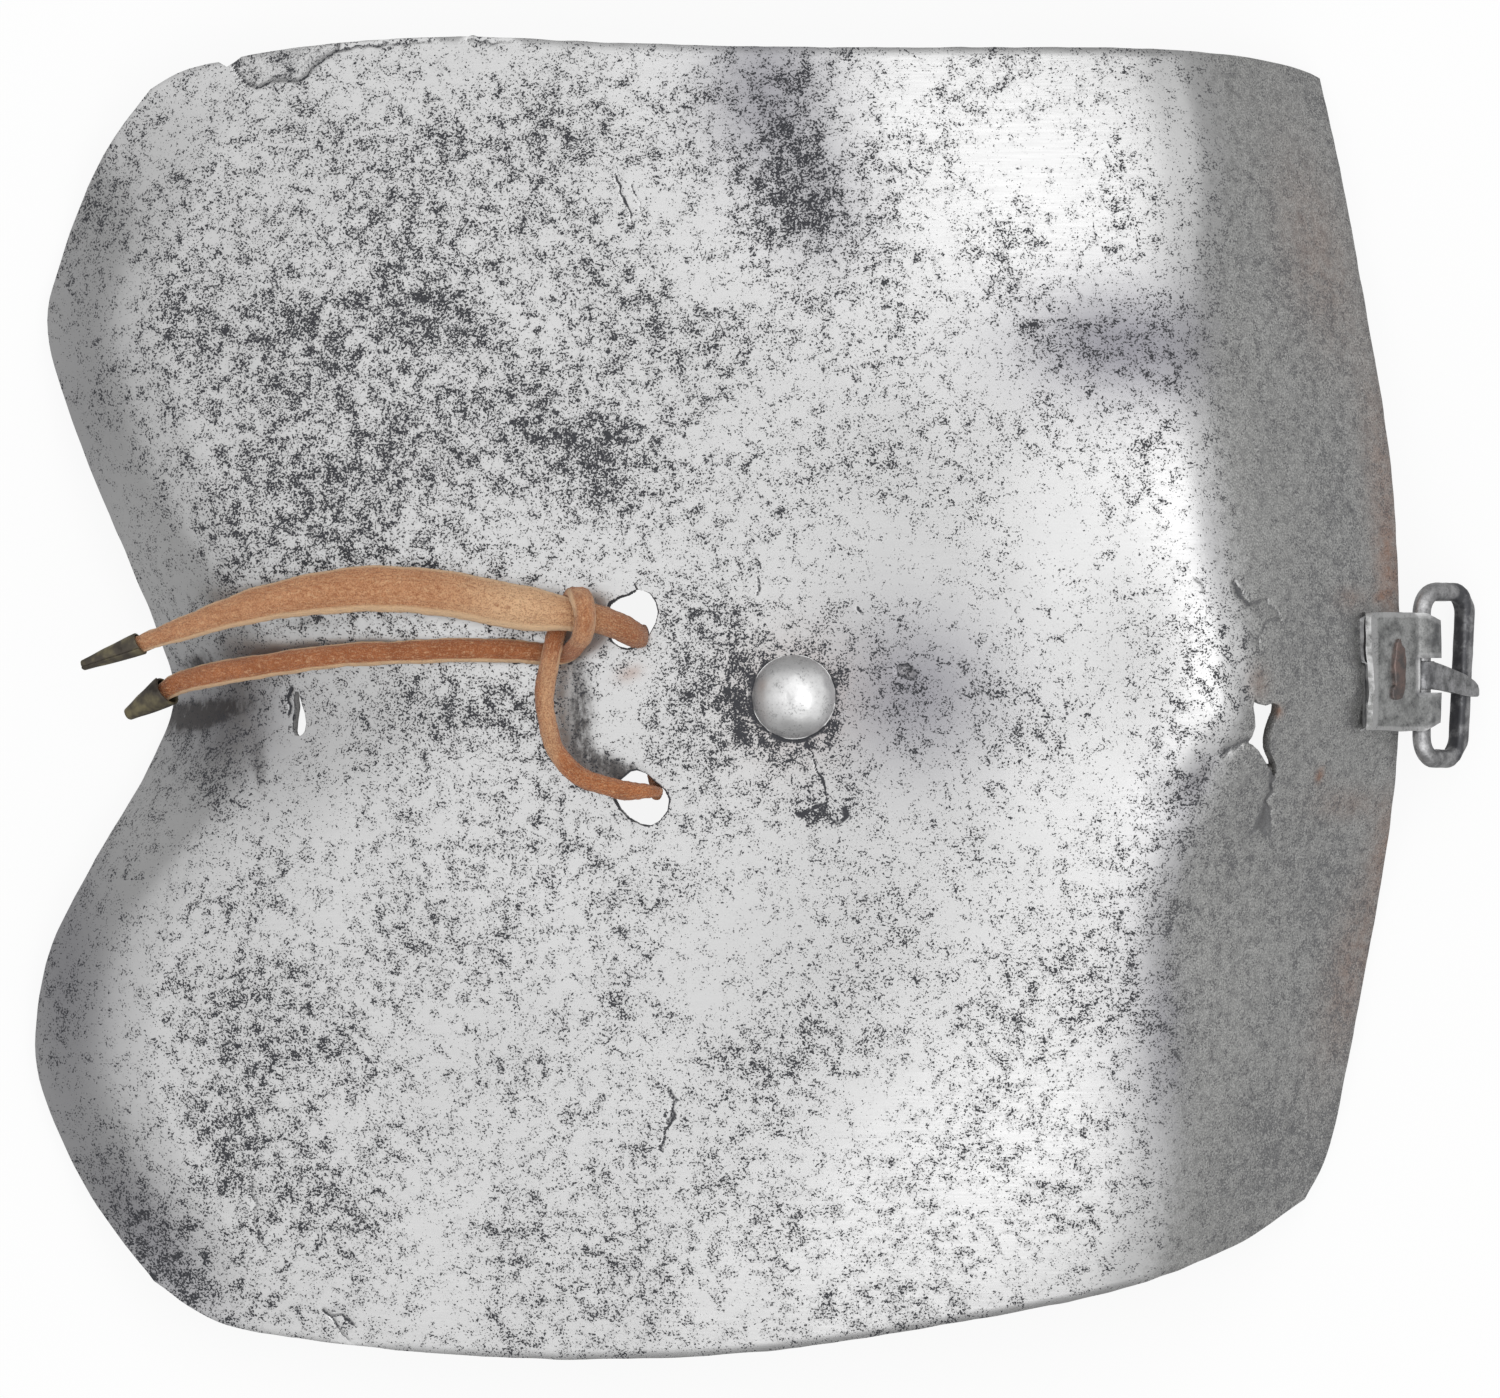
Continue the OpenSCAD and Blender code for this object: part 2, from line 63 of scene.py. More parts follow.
def colour(code):
    """Linear RGB of an sRGB hex colour."""
    parts = [int(code[i : i + 2], 16) / 255 for i in (1, 3, 5)]
    return tuple(c / 12.92 if c <= 0.04045 else ((c + 0.055) / 1.055) ** 2.4 for c in parts)


# Smooth lines and tables


def span(points, i, t):
    """A place on the smooth curve between points i and i + 1."""
    a, b = points[max(i - 1, 0)], points[i]
    c, d = points[i + 1], points[min(i + 2, len(points) - 1)]
    return 0.5 * (
        2 * b + (c - a) * t + (2 * a - 5 * b + 4 * c - d) * t * t
        + (3 * b - a - 3 * c + d) * t * t * t
    )


def curve(points, steps):
    """The smooth curve through points, with that many steps in each span."""
    p = [Vector(q) for q in points]
    made = [span(p, i, k / steps) for i in range(len(p) - 1) for k in range(steps)]
    return made + [p[-1]]


def table(pairs):
    """A look-up of values against rising keys, straight between them."""
    keys, values = zip(*pairs)

    def look(key):
        i = min(max(bisect.bisect_right(keys, key), 1), len(keys) - 1)
        t = (key - keys[i - 1]) / (keys[i] - keys[i - 1])
        return values[i - 1] + (values[i] - values[i - 1]) * min(max(t, 0), 1)

    return look


def side(points):
    """One side of the outline, as x and y against the share of its length."""
    line = curve(points, 8)
    runs = [0.0]
    for a, b in zip(line, line[1:]):
        runs.append(runs[-1] + (b - a).length)
    shares = [r / runs[-1] for r in runs]
    return [table(list(zip(shares, [p[k] for p in line]))) for k in (0, 1)]


def ease(t):
    """A soft step from 0 to 1."""
    c = min(max(t, 0), 1)
    return c * c * (3 - 2 * c)


def hump(x, y, place):
    """A rounded hump of height 1, given as centre, half widths and turn in degrees."""
    cx, cy, rx, ry, turn = place
    a = math.radians(turn)
    dx, dy = x - cx, y - cy
    along = (dx * math.cos(a) + dy * math.sin(a)) / rx
    over = (-dx * math.sin(a) + dy * math.cos(a)) / ry
    return math.exp(-along * along - over * over)


def line_distance(x, y, line):
    """Distance from a place to a broken line, and how far along the line it is, 0 to 1."""
    best, share = 1e9, 0
    for i, ((ax, ay), (bx, by)) in enumerate(zip(line, line[1:])):
        ux, uy = bx - ax, by - ay
        t = min(max(((x - ax) * ux + (y - ay) * uy) / (ux * ux + uy * uy), 0), 1)
        d = math.hypot(x - ax - ux * t, y - ay - uy * t)
        if d < best:
            best, share = d, (i + t) / (len(line) - 1)
    return best, share


def inside(x, y, outline):
    """True where a place lies inside a closed outline."""
    hit = False
    for (ax, ay), (bx, by) in zip(outline, outline[1:] + outline[:1]):
        if (ay > y) != (by > y) and x < ax + (y - ay) * (bx - ax) / (by - ay):
            hit = not hit
    return hit


def waves(x, y, size, seed=0.0):
    """Even noise from -1 to 1 with waves of that size in millimetres."""
    return noise.noise(Vector((x / size, y / size, seed)))


# The sheet's drawn form

TOP_RIM = [
    (-82, 82.5), (-76, 85.5), (-61, 88.2), (-42, 89.5), (-18, 88.6),
    (11, 88), (45, 88), (62, 87.2), (72, 85.6), (76, 84),
]
BUCKLE_RIM = [
    (74, -67.5), (77.5, -60), (81, -43), (84.5, -24), (86.3, -10), (86.8, 3),
    (86.5, 18), (85.2, 35), (81.5, 57), (78.3, 74), (76, 84),
]
BOTTOM_RIM = [
    (-81.5, -78.5), (-73, -84), (-60, -86.5), (-40, -88.5), (-20, -89),
    (2, -87.8), (27, -84), (48, -79.8), (64, -74), (74, -67.5),
]
WING_RIM = [
    (-81.5, -78.5), (-90.5, -66.5), (-96.8, -52.5), (-97.4, -43), (-95.3, -33),
    (-90, -22.5), (-82.5, -9.5), (-78.9, 0), (-81, 9), (-86.3, 22),
    (-92, 36), (-96, 50), (-93.8, 60.5), (-88.5, 73.5), (-82, 82.5),
]
FOLD_LINE = [
    (-90, 22), (-68, 23), (-45, 27), (-30, 30), (-14, 26.5),
    (3, 22), (30, 24), (57, 23.5), (75, 19.5), (90, 18),
]
SIDES = {
    "top": side(TOP_RIM),
    "buckle": side(BUCKLE_RIM),
    "bottom": side(BOTTOM_RIM),
    "wing": side(WING_RIM),
}
wing_x = table([(p.y, p.x) for p in curve(WING_RIM, 6)])
fold_at = table([tuple(p) for p in curve(FOLD_LINE, 6)])

CREST_H, CREST_X, BACK_R = 41.8, 34, 290
TURN_ANGLE, FOLD_SOFT = 48.2, 2.2
RIM_X, RIM_Y, RIM_DRAW = 86.8, 3, 620
ARM_CURVE, ARM_GROWTH, ARM_MID, ARM_SHIFT = 0.0045, 0.000019, 3.5, 0.05
POINT_H, POINT_X, POINT_R = 1.2, 62, 9
LOBE_ROLL, LOBE_W = 7, 16
NOTCH_X, CREASE_L, CREASE_DEPTH, CREASE_W0, CREASE_W1 = -79, 43, 10.5, 6, 14


def plan(u, v):
    """A point of the sheet seen from above, u across from the wing and v up from the bottom."""
    p = []
    for k in (0, 1):
        b0, b1 = BOTTOM_RIM[0][k], BOTTOM_RIM[-1][k]
        t0, t1 = TOP_RIM[0][k], TOP_RIM[-1][k]
        p.append(
            (1 - v) * SIDES["bottom"][k](u) + v * SIDES["top"][k](u)
            + (1 - u) * SIDES["wing"][k](v) + u * SIDES["buckle"][k](v)
            - (1 - u) * (1 - v) * b0 - u * (1 - v) * b1 - (1 - u) * v * t0 - u * v * t1
        )
    return p


def past_fold(x, y):
    """How far a place lies beyond the fold, towards the buckle's rim."""
    return fold_at(y) - (RIM_X - (y - RIM_Y) ** 2 / RIM_DRAW - x)


def height(x, y):
    """Height of the drawn outer face."""
    turned = math.tan(math.radians(TURN_ANGLE)) * FOLD_SOFT * math.log1p(
        math.exp(past_fold(x, y) / FOLD_SOFT)
    )
    along = (ARM_CURVE + ARM_GROWTH * x) / 2
    arm_y = y - ARM_MID - ARM_SHIFT * x
    edge = min(max(1 - (x - wing_x(y)) / LOBE_W, 0), 1)
    k = min(max((NOTCH_X + CREASE_L - x) / CREASE_L, 0), 1.4)
    crease_w = CREASE_W0 + (CREASE_W1 - CREASE_W0) * k
    return (
        CREST_H
        - (x - CREST_X) ** 2 / (2 * BACK_R)
        - along * arm_y * arm_y
        - turned
        + POINT_H * math.exp(-((x - POINT_X) ** 2 + (y - RIM_Y) ** 2) / (2 * POINT_R**2))
        - LOBE_ROLL * edge * edge * ease((84 - abs(y)) / 24)
        - CREASE_DEPTH * k**1.8 * math.exp(-((y / crease_w) ** 2))
    )


def outward(x, y):
    """Direction straight out of the drawn face."""
    h = 0.2
    dx = (height(x + h, y) - height(x - h, y)) / (2 * h)
    dy = (height(x, y + h) - height(x, y - h)) / (2 * h)
    return Vector((-dx, -dy, 1)).normalized()


def standing_on(x, y):
    """The place of a fitting that stands on the sheet."""
    n = outward(x, y)
    return (
        Matrix.Translation((x, y, height(x, y)))
        @ Matrix.Rotation(math.atan2(n.y, n.x), 4, "Z")
        @ Matrix.Rotation(math.acos(n.z), 4, "Y")
    )


# The buckle's seat on the turned side
CHAPE_Y, FRAME_Y, SEAT_RUN, SEAT = 3.8, 3.3, 5.8, 0.1
LEAF, LEAF_GAP, BAR_OUT, BAR_R, PLAY = 0.95, 0.15, 3.2, 1.25, 0.05
BAR_GAP, FRAME_TILT = 9.5, 54
BAR_UP = LEAF + LEAF_GAP / 2
rim_z = height(RIM_X, CHAPE_Y)
SEAT_SLOPE = math.atan((height(RIM_X - SEAT_RUN, CHAPE_Y) - rim_z) / SEAT_RUN)
AT_RIM = (
    Matrix.Translation((RIM_X, 0, rim_z))
    @ Matrix.Rotation(SEAT_SLOPE, 4, "Y")
    @ Matrix.Translation((0, 0, SEAT))
)
BAR_AT = AT_RIM @ Vector((BAR_OUT, 0, BAR_UP))
AT_BAR = Matrix.Translation((BAR_AT.x, FRAME_Y, BAR_AT.z)) @ Matrix.Rotation(
    math.radians(FRAME_TILT), 4, "Y"
)

# Wear of the sheet, seen from above

UPPER_HOLE = [
    (-16.3, 14.8), (-15.6, 14.8), (-14.5, 14.3), (-13.7, 13.1), (-13.4, 11.8),
    (-13.7, 10.4), (-14.4, 9.1), (-15.3, 8.1), (-16.5, 7.2), (-17.6, 6.9),
    (-18.8, 7.2), (-19.7, 7.9), (-20.2, 9.1), (-20.3, 10.6), (-20.2, 12.1),
    (-19.8, 12.9), (-18.7, 13.7), (-17.4, 14.1), (-16.7, 14.5),
]
LOWER_HOLE = [
    (-16.2, -9.5), (-15.0, -9.9), (-13.7, -11.1), (-12.5, -12.2), (-11.9, -13.4),
    (-12.1, -14.9), (-13.2, -16.3), (-14.5, -17.0), (-15.8, -16.8), (-17.4, -15.9),
    (-18.5, -14.7), (-19.2, -13.3), (-19.2, -11.8), (-18.4, -10.7), (-17.2, -9.7),
]
SLIT = [
    (-62.3, 1.3), (-61.8, 1.0), (-61.4, -0.6), (-61.0, -1.8), (-60.8, -3.2), (-61.0, -4.3),
    (-61.6, -4.9), (-62.3, -4.8), (-62.7, -4.0), (-62.6, -2.6), (-62.4, -1.2), (-62.5, 0.2),
]
TEAR = [
    (66.9, 0.1), (67.6, -0.5), (68.4, -0.8), (69.5, -0.4), (70.3, -0.9), (70.2, -1.8),
    (69.8, -2.8), (69.4, -4.2), (69.1, -5.6), (69.0, -6.9), (69.3, -7.6), (69.8, -8.6),
    (69.9, -9.6), (69.5, -10.4), (69.0, -9.4), (68.3, -8.2), (67.5, -6.9), (66.7, -6.1),
    (66.0, -5.8), (66.6, -4.9), (67.0, -3.6), (66.9, -2.1), (66.7, -0.9),
]
# Cracks and lifted lips as [half width, depth, darkness, line]
CRACKS = [
    (0.32, 0.5, 0.7, [(64.1, 15.6), (65.0, 14.1), (65.9, 12.9), (67.0, 13.0), (68.2, 13.5),
                      (68.8, 12.8), (69.7, 11.9), (70.4, 10.8)]),
    (0.25, 0.35, 0.7, [(70.4, 10.8), (68.9, 10.8), (67.9, 9.0), (67.3, 7.6)]),
    (0.2, 0.2, 0.4, [(58.8, 16.5), (59.6, 15.7), (60.3, 14.7)]),
    (0.45, 0.9, 0.7, [(66.3, -5.8), (65.0, -6.0), (63.1, -6.65)]),
    (0.3, 0.6, 1.0, [(69.2, -10.0), (69.1, -12.4), (68.5, -13.4), (68.9, -16.2), (69.1, -18.4)]),
    (0.12, 0.12, 1.15, [(6.4, -5.0), (7.1, -7.4), (8.0, -9.4), (9.0, -11.3), (9.3, -13.2),
                        (9.1, -15.7)]),
    (0.4, 0.1, 0.8, [(5.4, -15.3), (6.9, -14.9), (8.6, -14.0), (9.4, -15.2), (10.4, -16.7)]),
    (0.4, 0.12, 0.8, [(11.9, -14.5), (12.0, -15.5), (11.3, -16.2)]),
    (0.35, 0.1, 0.65, [(0.1, 14.2), (0.3, 15.2), (0.1, 16.3)]),
    (0.35, 0.1, 0.65, [(13.6, 12.5), (14.1, 11.7)]),
    (0.18, 0.12, 1.1, [(-16.3, 14.7), (-16.4, 15.6)]),
    (0.3, 0.2, 1.0, [(-62.9, 1.4), (-63.0, -0.6), (-63.1, -2.0)]),
    (0.45, 0.1, 0.75, [(-12.0, -52.6), (-10.9, -53.9), (-11.2, -55.2), (-10.9, -56.4)]),
    (0.3, 0.1, 0.6, [(-11.2, -55.4), (-12.0, -56.8)]),
    (0.2, 0.12, 0.8, [(-11.2, -56.2), (-12.2, -58.0), (-12.9, -59.6), (-12.7, -61.0)]),
    (0.22, 0.12, 0.6, [(-68.4, -64.8), (-67.6, -67.6), (-68.0, -70.0), (-67.3, -72.9)]),
    (0.22, 0.2, 0.7, [(-58.4, -82.2), (-57.4, -83.2), (-56.6, -85.0), (-55.2, -86.3)]),
    (0.2, 0.15, 0.7, [(-57.4, -83.2), (-56.0, -83.0), (-54.6, -84.2)]),
    (0.16, 0.08, 0.8, [(-19.2, 70.6), (-17.2, 65.6), (-16.6, 63.4)]),
    (0.14, 0.06, 0.7, [(-16.8, 69.0), (-15.4, 65.0)]),
    (0.25, 0.12, 0.6, [(-57.0, 87.6), (-50.0, 88.4), (-44.0, 88.9)]),
    (0.25, 0.12, 0.6, [(-39.0, 88.8), (-33.5, 88.7)]),
    (0.12, 0.05, 0.5, [(-42.5, -6.9), (-35.0, -7.3), (-31.5, -7.2)]),
    (0.12, 0.05, 0.5, [(-41.5, -7.8), (-36.0, -8.2), (-30.5, -8.1)]),
    (0.12, 0.05, 0.5, [(-38.5, -8.8), (-33.0, -9.0)]),
]
# Flaked patches as [darkness, outline]
FLAKES = [
    (0.85, [(68.4, -13.0), (66.3, -18.3), (67.4, -17.6), (68.2, -18.3), (69.0, -17.0)]),
    (0.44, [(18.4, 4.7), (20.4, 4.9), (21.8, 3.6), (20.9, 2.4), (18.9, 3.1)]),
    (0.44, [(-71.3, 86.3), (-70.2, 84.4), (-68.9, 82.9), (-67.3, 82.4), (-65.4, 83.3),
            (-63.6, 83.4), (-61.9, 83.2), (-60.8, 83.9), (-59.9, 85.0), (-58.2, 86.4),
            (-56.3, 87.6), (-56.0, 91.0), (-72.0, 89.0)]),
]
# Bulges above zero and dents below, as [place, height]
DENTS = [
    ((64.2, -2.2, 3.4, 3.2, 0), 0.6),
    ((66.4, -9.4, 2.2, 2.6, 0), 0.35),
    ((66.6, -13.8, 2.4, 3.4, 0), -0.45),
    ((59.6, -10.2, 2.0, 5.0, -34), -0.5),
    ((54.6, -13.2, 2.6, 2.6, 0), -0.35),
    ((68.9, -5.0, 0.8, 3.0, 8), 0.35),
    ((65.7, 2.2, 1.4, 2.4, 0), -0.3),
    ((67.4, 5.0, 4.6, 8.0, 0), 0.5),
    ((23.0, 1.0, 13.0, 10.0, 0), -0.12),
    ((61.0, 47.0, 10.0, 8.0, 10), -0.55),
    ((5.0, 76.0, 6.0, 12.0, 0), -0.3),
    ((8.3, -15.6, 2.6, 1.4, 0), -0.18),
]
# Where pits crowd, as [place, how much]
PITTED = [
    ((-42, 44, 22, 26, 0), 0.85), ((-70, 55, 14, 22, 0), 0.5), ((-30, 72, 16, 12, 0), 0.5),
    ((4, 80, 8, 12, 0), 0.9), ((7, 66, 7, 9, 0), 0.55), ((3, 46, 16, 7, 15), 0.4),
    ((37, 50, 7, 6, 0), 0.55), ((61, 46, 7, 8, 0), 0.45), ((-23, 36, 6, 5, 0), 0.6),
    ((-36, -34, 10, 8, 0), 0.35), ((-42, -48, 10, 8, 0), -0.5), ((3, -47, 10, 7, 0), 0.5), ((-69, -57, 9, 10, 0), 0.45),
    ((-12, -55, 4, 5, 0), 0.7), ((-14, -77, 15, 8, 0), 0.45), ((34, -63, 7, 5, 0), 0.55),
    ((-6, 2, 8, 10, 0), 1.5), ((-38, -1, 10, 5, 0), 0.9), ((8, -15, 4, 3, 0), 0.6), ((-2, -12, 7, 5, 0), 0.4), ((60, -33, 9, 14, 0), 0.3),
    ((36, 65, 5, 4, 0), 0.45), ((-20, 30, 7, 6, 0), 0.35), ((57, -14, 5, 6, 0), 0.75),
    ((62, 3, 6, 6, 0), 0.3), ((-70, -4, 6, 9, 0), 0.7), ((-73, -11.5, 2, 5, 0), 0.7), ((-49, 4, 10, 8, 0), 0.35),
    ((25, 28, 12, 5, 0), 0.25), ((45, -70, 20, 9, 0), -0.1), ((70, -60, 8, 12, 0), 0.3),
    ((40, 20, 18, 16, 0), -0.45), ((35, 72, 16, 10, 0), -0.4), ((30, -76, 14, 8, 0), -0.3),
    ((-20, -5, 5, 7, 0), -0.3), ((48, -2, 10, 12, 0), -0.4),
    ((-68, -42, 16, 18, 0), 0.4), ((-62, 32, 12, 12, 0), 0.9), ((-62, 16, 10, 8, 0), 0.7), ((-42, -28, 12, 10, 0), 0.4), ((-60, -70, 22, 9, 0), 0.4),
    ((-82, -72, 6, 14, 34), 0.9), ((8, -15, 3.0, 1.6, 0), 1.0), ((78, 40, 7, 40, 0), 0.55),
    ((78, -30, 7, 36, 0), 0.7), ((73, -62, 7, 8, 0), 0.6), ((66, -16, 4, 8, 0), 0.5),
    ((-88, 66, 4, 16, -24), 0.5), ((-50, 76, 16, 8, 0), 0.35),
]
# Brown stains as [place, how much]
STAINS = [
    ((67.4, 2.4, 1.4, 2.2, 0), 0.4), ((70.0, -1.6, 0.7, 0.8, 0), 1.0),
    ((75.5, 60.0, 4.4, 13.0, 14), 0.3), ((85.2, 17.0, 1.6, 7.0, 4), 0.6),
    ((80.0, 13.6, 2.0, 1.6, 0), 0.35), ((84.4, 30.0, 2.2, 13.0, 6), 0.45),
    ((80.5, -36.0, 3.2, 12.0, -14), 0.45), ((84.8, -20.0, 1.6, 6.0, -8), 0.55),
    ((75.8, -10.2, 0.5, 1.0, 10), 1.0), ((83.8, 13.9, 0.5, 0.6, 0), 0.9),
    ((79.5, -14.0, 4.5, 2.0, 0), 0.3), ((-17.2, 3.6, 1.8, 1.0, 20), 0.5),
    ((4.9, 0.4, 8.5, 8.5, 0), 0.25),
]
# Painted shadows that the lace casts on the sheet, with painted shade at the notch and beside the tear, as [place, how
# much]
PAINTED_SHADOWS = [
    ((-77.0, -2.4, 4.2, 1.9, 6), 2.2), ((-71.6, -1.2, 4.4, 1.6, 12), 1.4),
    ((-67.3, -8.0, 1.1, 4.4, 6), 0.9), ((-75.4, 4.7, 2.2, 1.4, 20), 1.6), ((67.1, 2.2, 1.1, 1.8, 0), 0.7),
    ((-60.5, 10.6, 4.0, 0.9, 0), 0.5),
    ((-24.0, 2.5, 1.7, 5.0, 4), 0.9), ((-23.9, -4.0, 1.7, 4.2, 2), 1.1),
    ((-20.8, -8.5, 3.6, 1.4, -30), 1.3), ((-17.4, -9.7, 2.4, 1.2, -8), 1.1),
    ((-50.0, 10.6, 13.0, 1.2, 4), 0.25),
]
# Grey-lilac tarnish, with painted dark reflections on the polished face and painted shade at the lobes' edges and the
# notch, as [place, how much]
TARNISH_AND_SHADE = [
    ((1.0, 82.0, 9.0, 12.0, 0), 0.95), ((9.0, 66.0, 7.0, 9.0, 0), 0.5),
    ((55.0, 46.5, 20.0, 9.0, 0), 0.75), ((21.0, 1.0, 12.0, 11.0, 0), 1.0),
    ((60.0, -40.0, 8.0, 20.0, -3), 1.3), ((56.0, -14.0, 5.0, 7.0, 0), 0.2),
    ((46.0, 49.0, 12.0, 7.0, 0), 0.5), ((62.0, 22.0, 4.0, 10.0, 0), 0.3),
    ((-82.0, -73.0, 5.0, 14.0, 34), 0.8), ((-94.0, -35.0, 5.0, 22.0, 0), 0.4),
    ((59.5, -11.0, 1.8, 4.2, -34), 0.6), ((-72.0, -2.0, 9.0, 9.0, 0), 0.7),
    ((-92.0, -40.0, 7.0, 26.0, 0), 0.35), ((-92.0, 40.0, 6.0, 26.0, 0), 0.25),
]


CRACK_REACH = 2.5
CRACK_BOXES = [
    (min(p[0] for p in line) - CRACK_REACH, max(p[0] for p in line) + CRACK_REACH,
     min(p[1] for p in line) - CRACK_REACH, max(p[1] for p in line) + CRACK_REACH)
    for *_, line in CRACKS
]


def cracks_near(x, y):
    """The cracks beside a place: half width, depth, darkness, distance and share along.
    Their lines wander a little, as a real crack does."""
    found = []
    for (half, depth, dark, line), (left, right, low, high) in zip(CRACKS, CRACK_BOXES):
        if left < x < right and low < y < high:
            dx, dy = waves(x, y, 1.3, 3.0), waves(x, y, 1.3, 9.0)
            d, share = line_distance(x + 0.55 * dx, y + 0.55 * dy, line)
            found.append((half, depth, dark, d, share))
    return found


def relief(x, y, wave):
    """How far the worn face stands off the drawn one."""
    off = wave * (waves(x, y, 36, 0.7) + 0.45 * waves(x, y, 13, 3.1) + 0.16 * waves(x, y, 5, 8.2))
    off += sum(h * hump(x, y, place) for place, h in DENTS)
    for half, depth, _, d, share in cracks_near(x, y):
        if d < 4 * half:
            off -= depth * math.exp(-((d / half) ** 2)) * (1 - 0.5 * share)
    for _, outline in FLAKES:
        if inside(x, y, outline):
            d, _ = line_distance(x, y, outline + outline[:1])
            off -= 0.45 * ease(d / 0.5)
    return off


def turned_share(x, y):
    """How matt the face is: it turns dull across the fold, and sharply beside the tear."""
    sharp = hump(x, y, (67, 2, 9, 12, 0))
    late = 4.0 * hump(x, y, (60, 72, 12, 22, 0))
    return ease((past_fold(x, y) + 6.5 - 6.0 * sharp - late) / (13 - 8.5 * sharp))


def wear(x, y):
    """Shares of pits, stain, scars (with the painted shade round the rivet), tarnished patches (with painted dark
    reflections and shade) and painted shadow at a place of the sheet.
    """
    pits = sum(k * hump(x, y, place) for place, k in PITTED)
    stain = sum(k * hump(x, y, place) for place, k in STAINS)
    tarnish_and_shade = sum(k * hump(x, y, place) for place, k in TARNISH_AND_SHADE)
    scar_and_shade = 0.0
    for half, _, dark, d, share in cracks_near(x, y):
        half *= 1.2 + 0.8 * waves(x, y, 1.4, 4.4)
        scar_and_shade = max(scar_and_shade, 1.15 * dark * math.exp(-((d / half) ** 2)) * (1 - 0.2 * share))
    for outline, wide in ((UPPER_HOLE, 0.3), (LOWER_HOLE, 0.3), (SLIT, 0.1)):
        d, _ = line_distance(x, y, outline + outline[:1])
        scar_and_shade = max(scar_and_shade, 1.1 * ease((wide - d + 0.3 * waves(x, y, 1.6, 7.0)) / 0.35))
    for dark, outline in FLAKES:
        if inside(x, y, outline):
            d, _ = line_distance(x, y, outline + outline[:1])
            scar_and_shade = max(scar_and_shade, dark, 0.9 - 1.3 * d)
    # A dark ring round the rivet's head, thicker to the lower left: grime and painted shade where the head meets the
    # sheet; pits crowd round it too
    rivet = math.hypot(x - 4.9, y - 0.4)
    if rivet < 14:
        ragged = 1.6 * waves(x, y, 4, 2.2) + 0.8 * waves(x, y, 1.5, 6.1)
        lower_left = (4.9 - x + 0.4 - y) / rivet
        scar_and_shade = max(scar_and_shade, ease((6.4 - rivet + 0.35 * ragged + 0.35 * lower_left) / 0.9))
        pits += 0.9 * ease((9.6 - rivet + ragged + lower_left) / 3.4)
    # Painted shadow of the lace, and painted shade at the notch and beside the tear
    painted_shadow = sum(k * hump(x, y, place) for place, k in PAINTED_SHADOWS)
    return pits, stain, scar_and_shade, tarnish_and_shade, painted_shadow


# Materials


def add_node(tree, kind, settings=None, inputs=None):
    """Adds a node with its settings; an input that is a socket is linked, another is set."""
    made = tree.nodes.new(kind)
    for name, value in (settings or {}).items():
        setattr(made, name, value)
    for name, value in (inputs or {}).items():
        if isinstance(value, bpy.types.NodeSocket):
            tree.links.new(value, made.inputs[name])
        else:
            made.inputs[name].default_value = value
    return made


def new_material(name):
    """An empty material with its tree, its surface output and a coordinate in millimetres."""
    material = bpy.data.materials.new(name)
    material.use_nodes = True
    tree = material.node_tree
    tree.nodes.clear()
    end = add_node(tree, "ShaderNodeOutputMaterial")
    place = add_node(tree, "ShaderNodeTexCoord")
    mm = add_node(
        tree, "ShaderNodeMapping", inputs={"Vector": place.outputs["Object"], "Scale": (1 / MM,) * 3}
    )
    return material, tree, end, mm.outputs["Vector"]


def noise_node(tree, vector, grain, detail=2.0, roughness=0.5, distortion=0.0):
    """Noise with grains of that size in millimetres."""
    return add_node(
        tree, "ShaderNodeTexNoise",
        inputs={"Vector": vector, "Scale": 1 / grain, "Detail": detail, "Roughness": roughness,
                "Distortion": distortion},
    ).outputs["Fac"]


def math_node(tree, operation, a, b=0.0, clamp=False):
    """One sum, product or other simple operation."""
    return add_node(
        tree, "ShaderNodeMath", {"operation": operation, "use_clamp": clamp}, {0: a, 1: b}
    ).outputs[0]


def step_node(tree, value, low, high, start=0.0, end=1.0):
    """A soft step of a value from start to end."""
    return add_node(
        tree, "ShaderNodeMapRange", {"interpolation_type": "SMOOTHSTEP"},
        {"Value": value, "From Min": low, "From Max": high, "To Min": start, "To Max": end},
    ).outputs["Result"]


def mix_node(tree, share, a, b):
    """A mix of two colours."""
    opaque = [v if isinstance(v, bpy.types.NodeSocket) else (*v, 1) for v in (a, b)]
    return add_node(
        tree, "ShaderNodeMix", {"data_type": "RGBA"}, {0: share, 6: opaque[0], 7: opaque[1]}
    ).outputs[2]


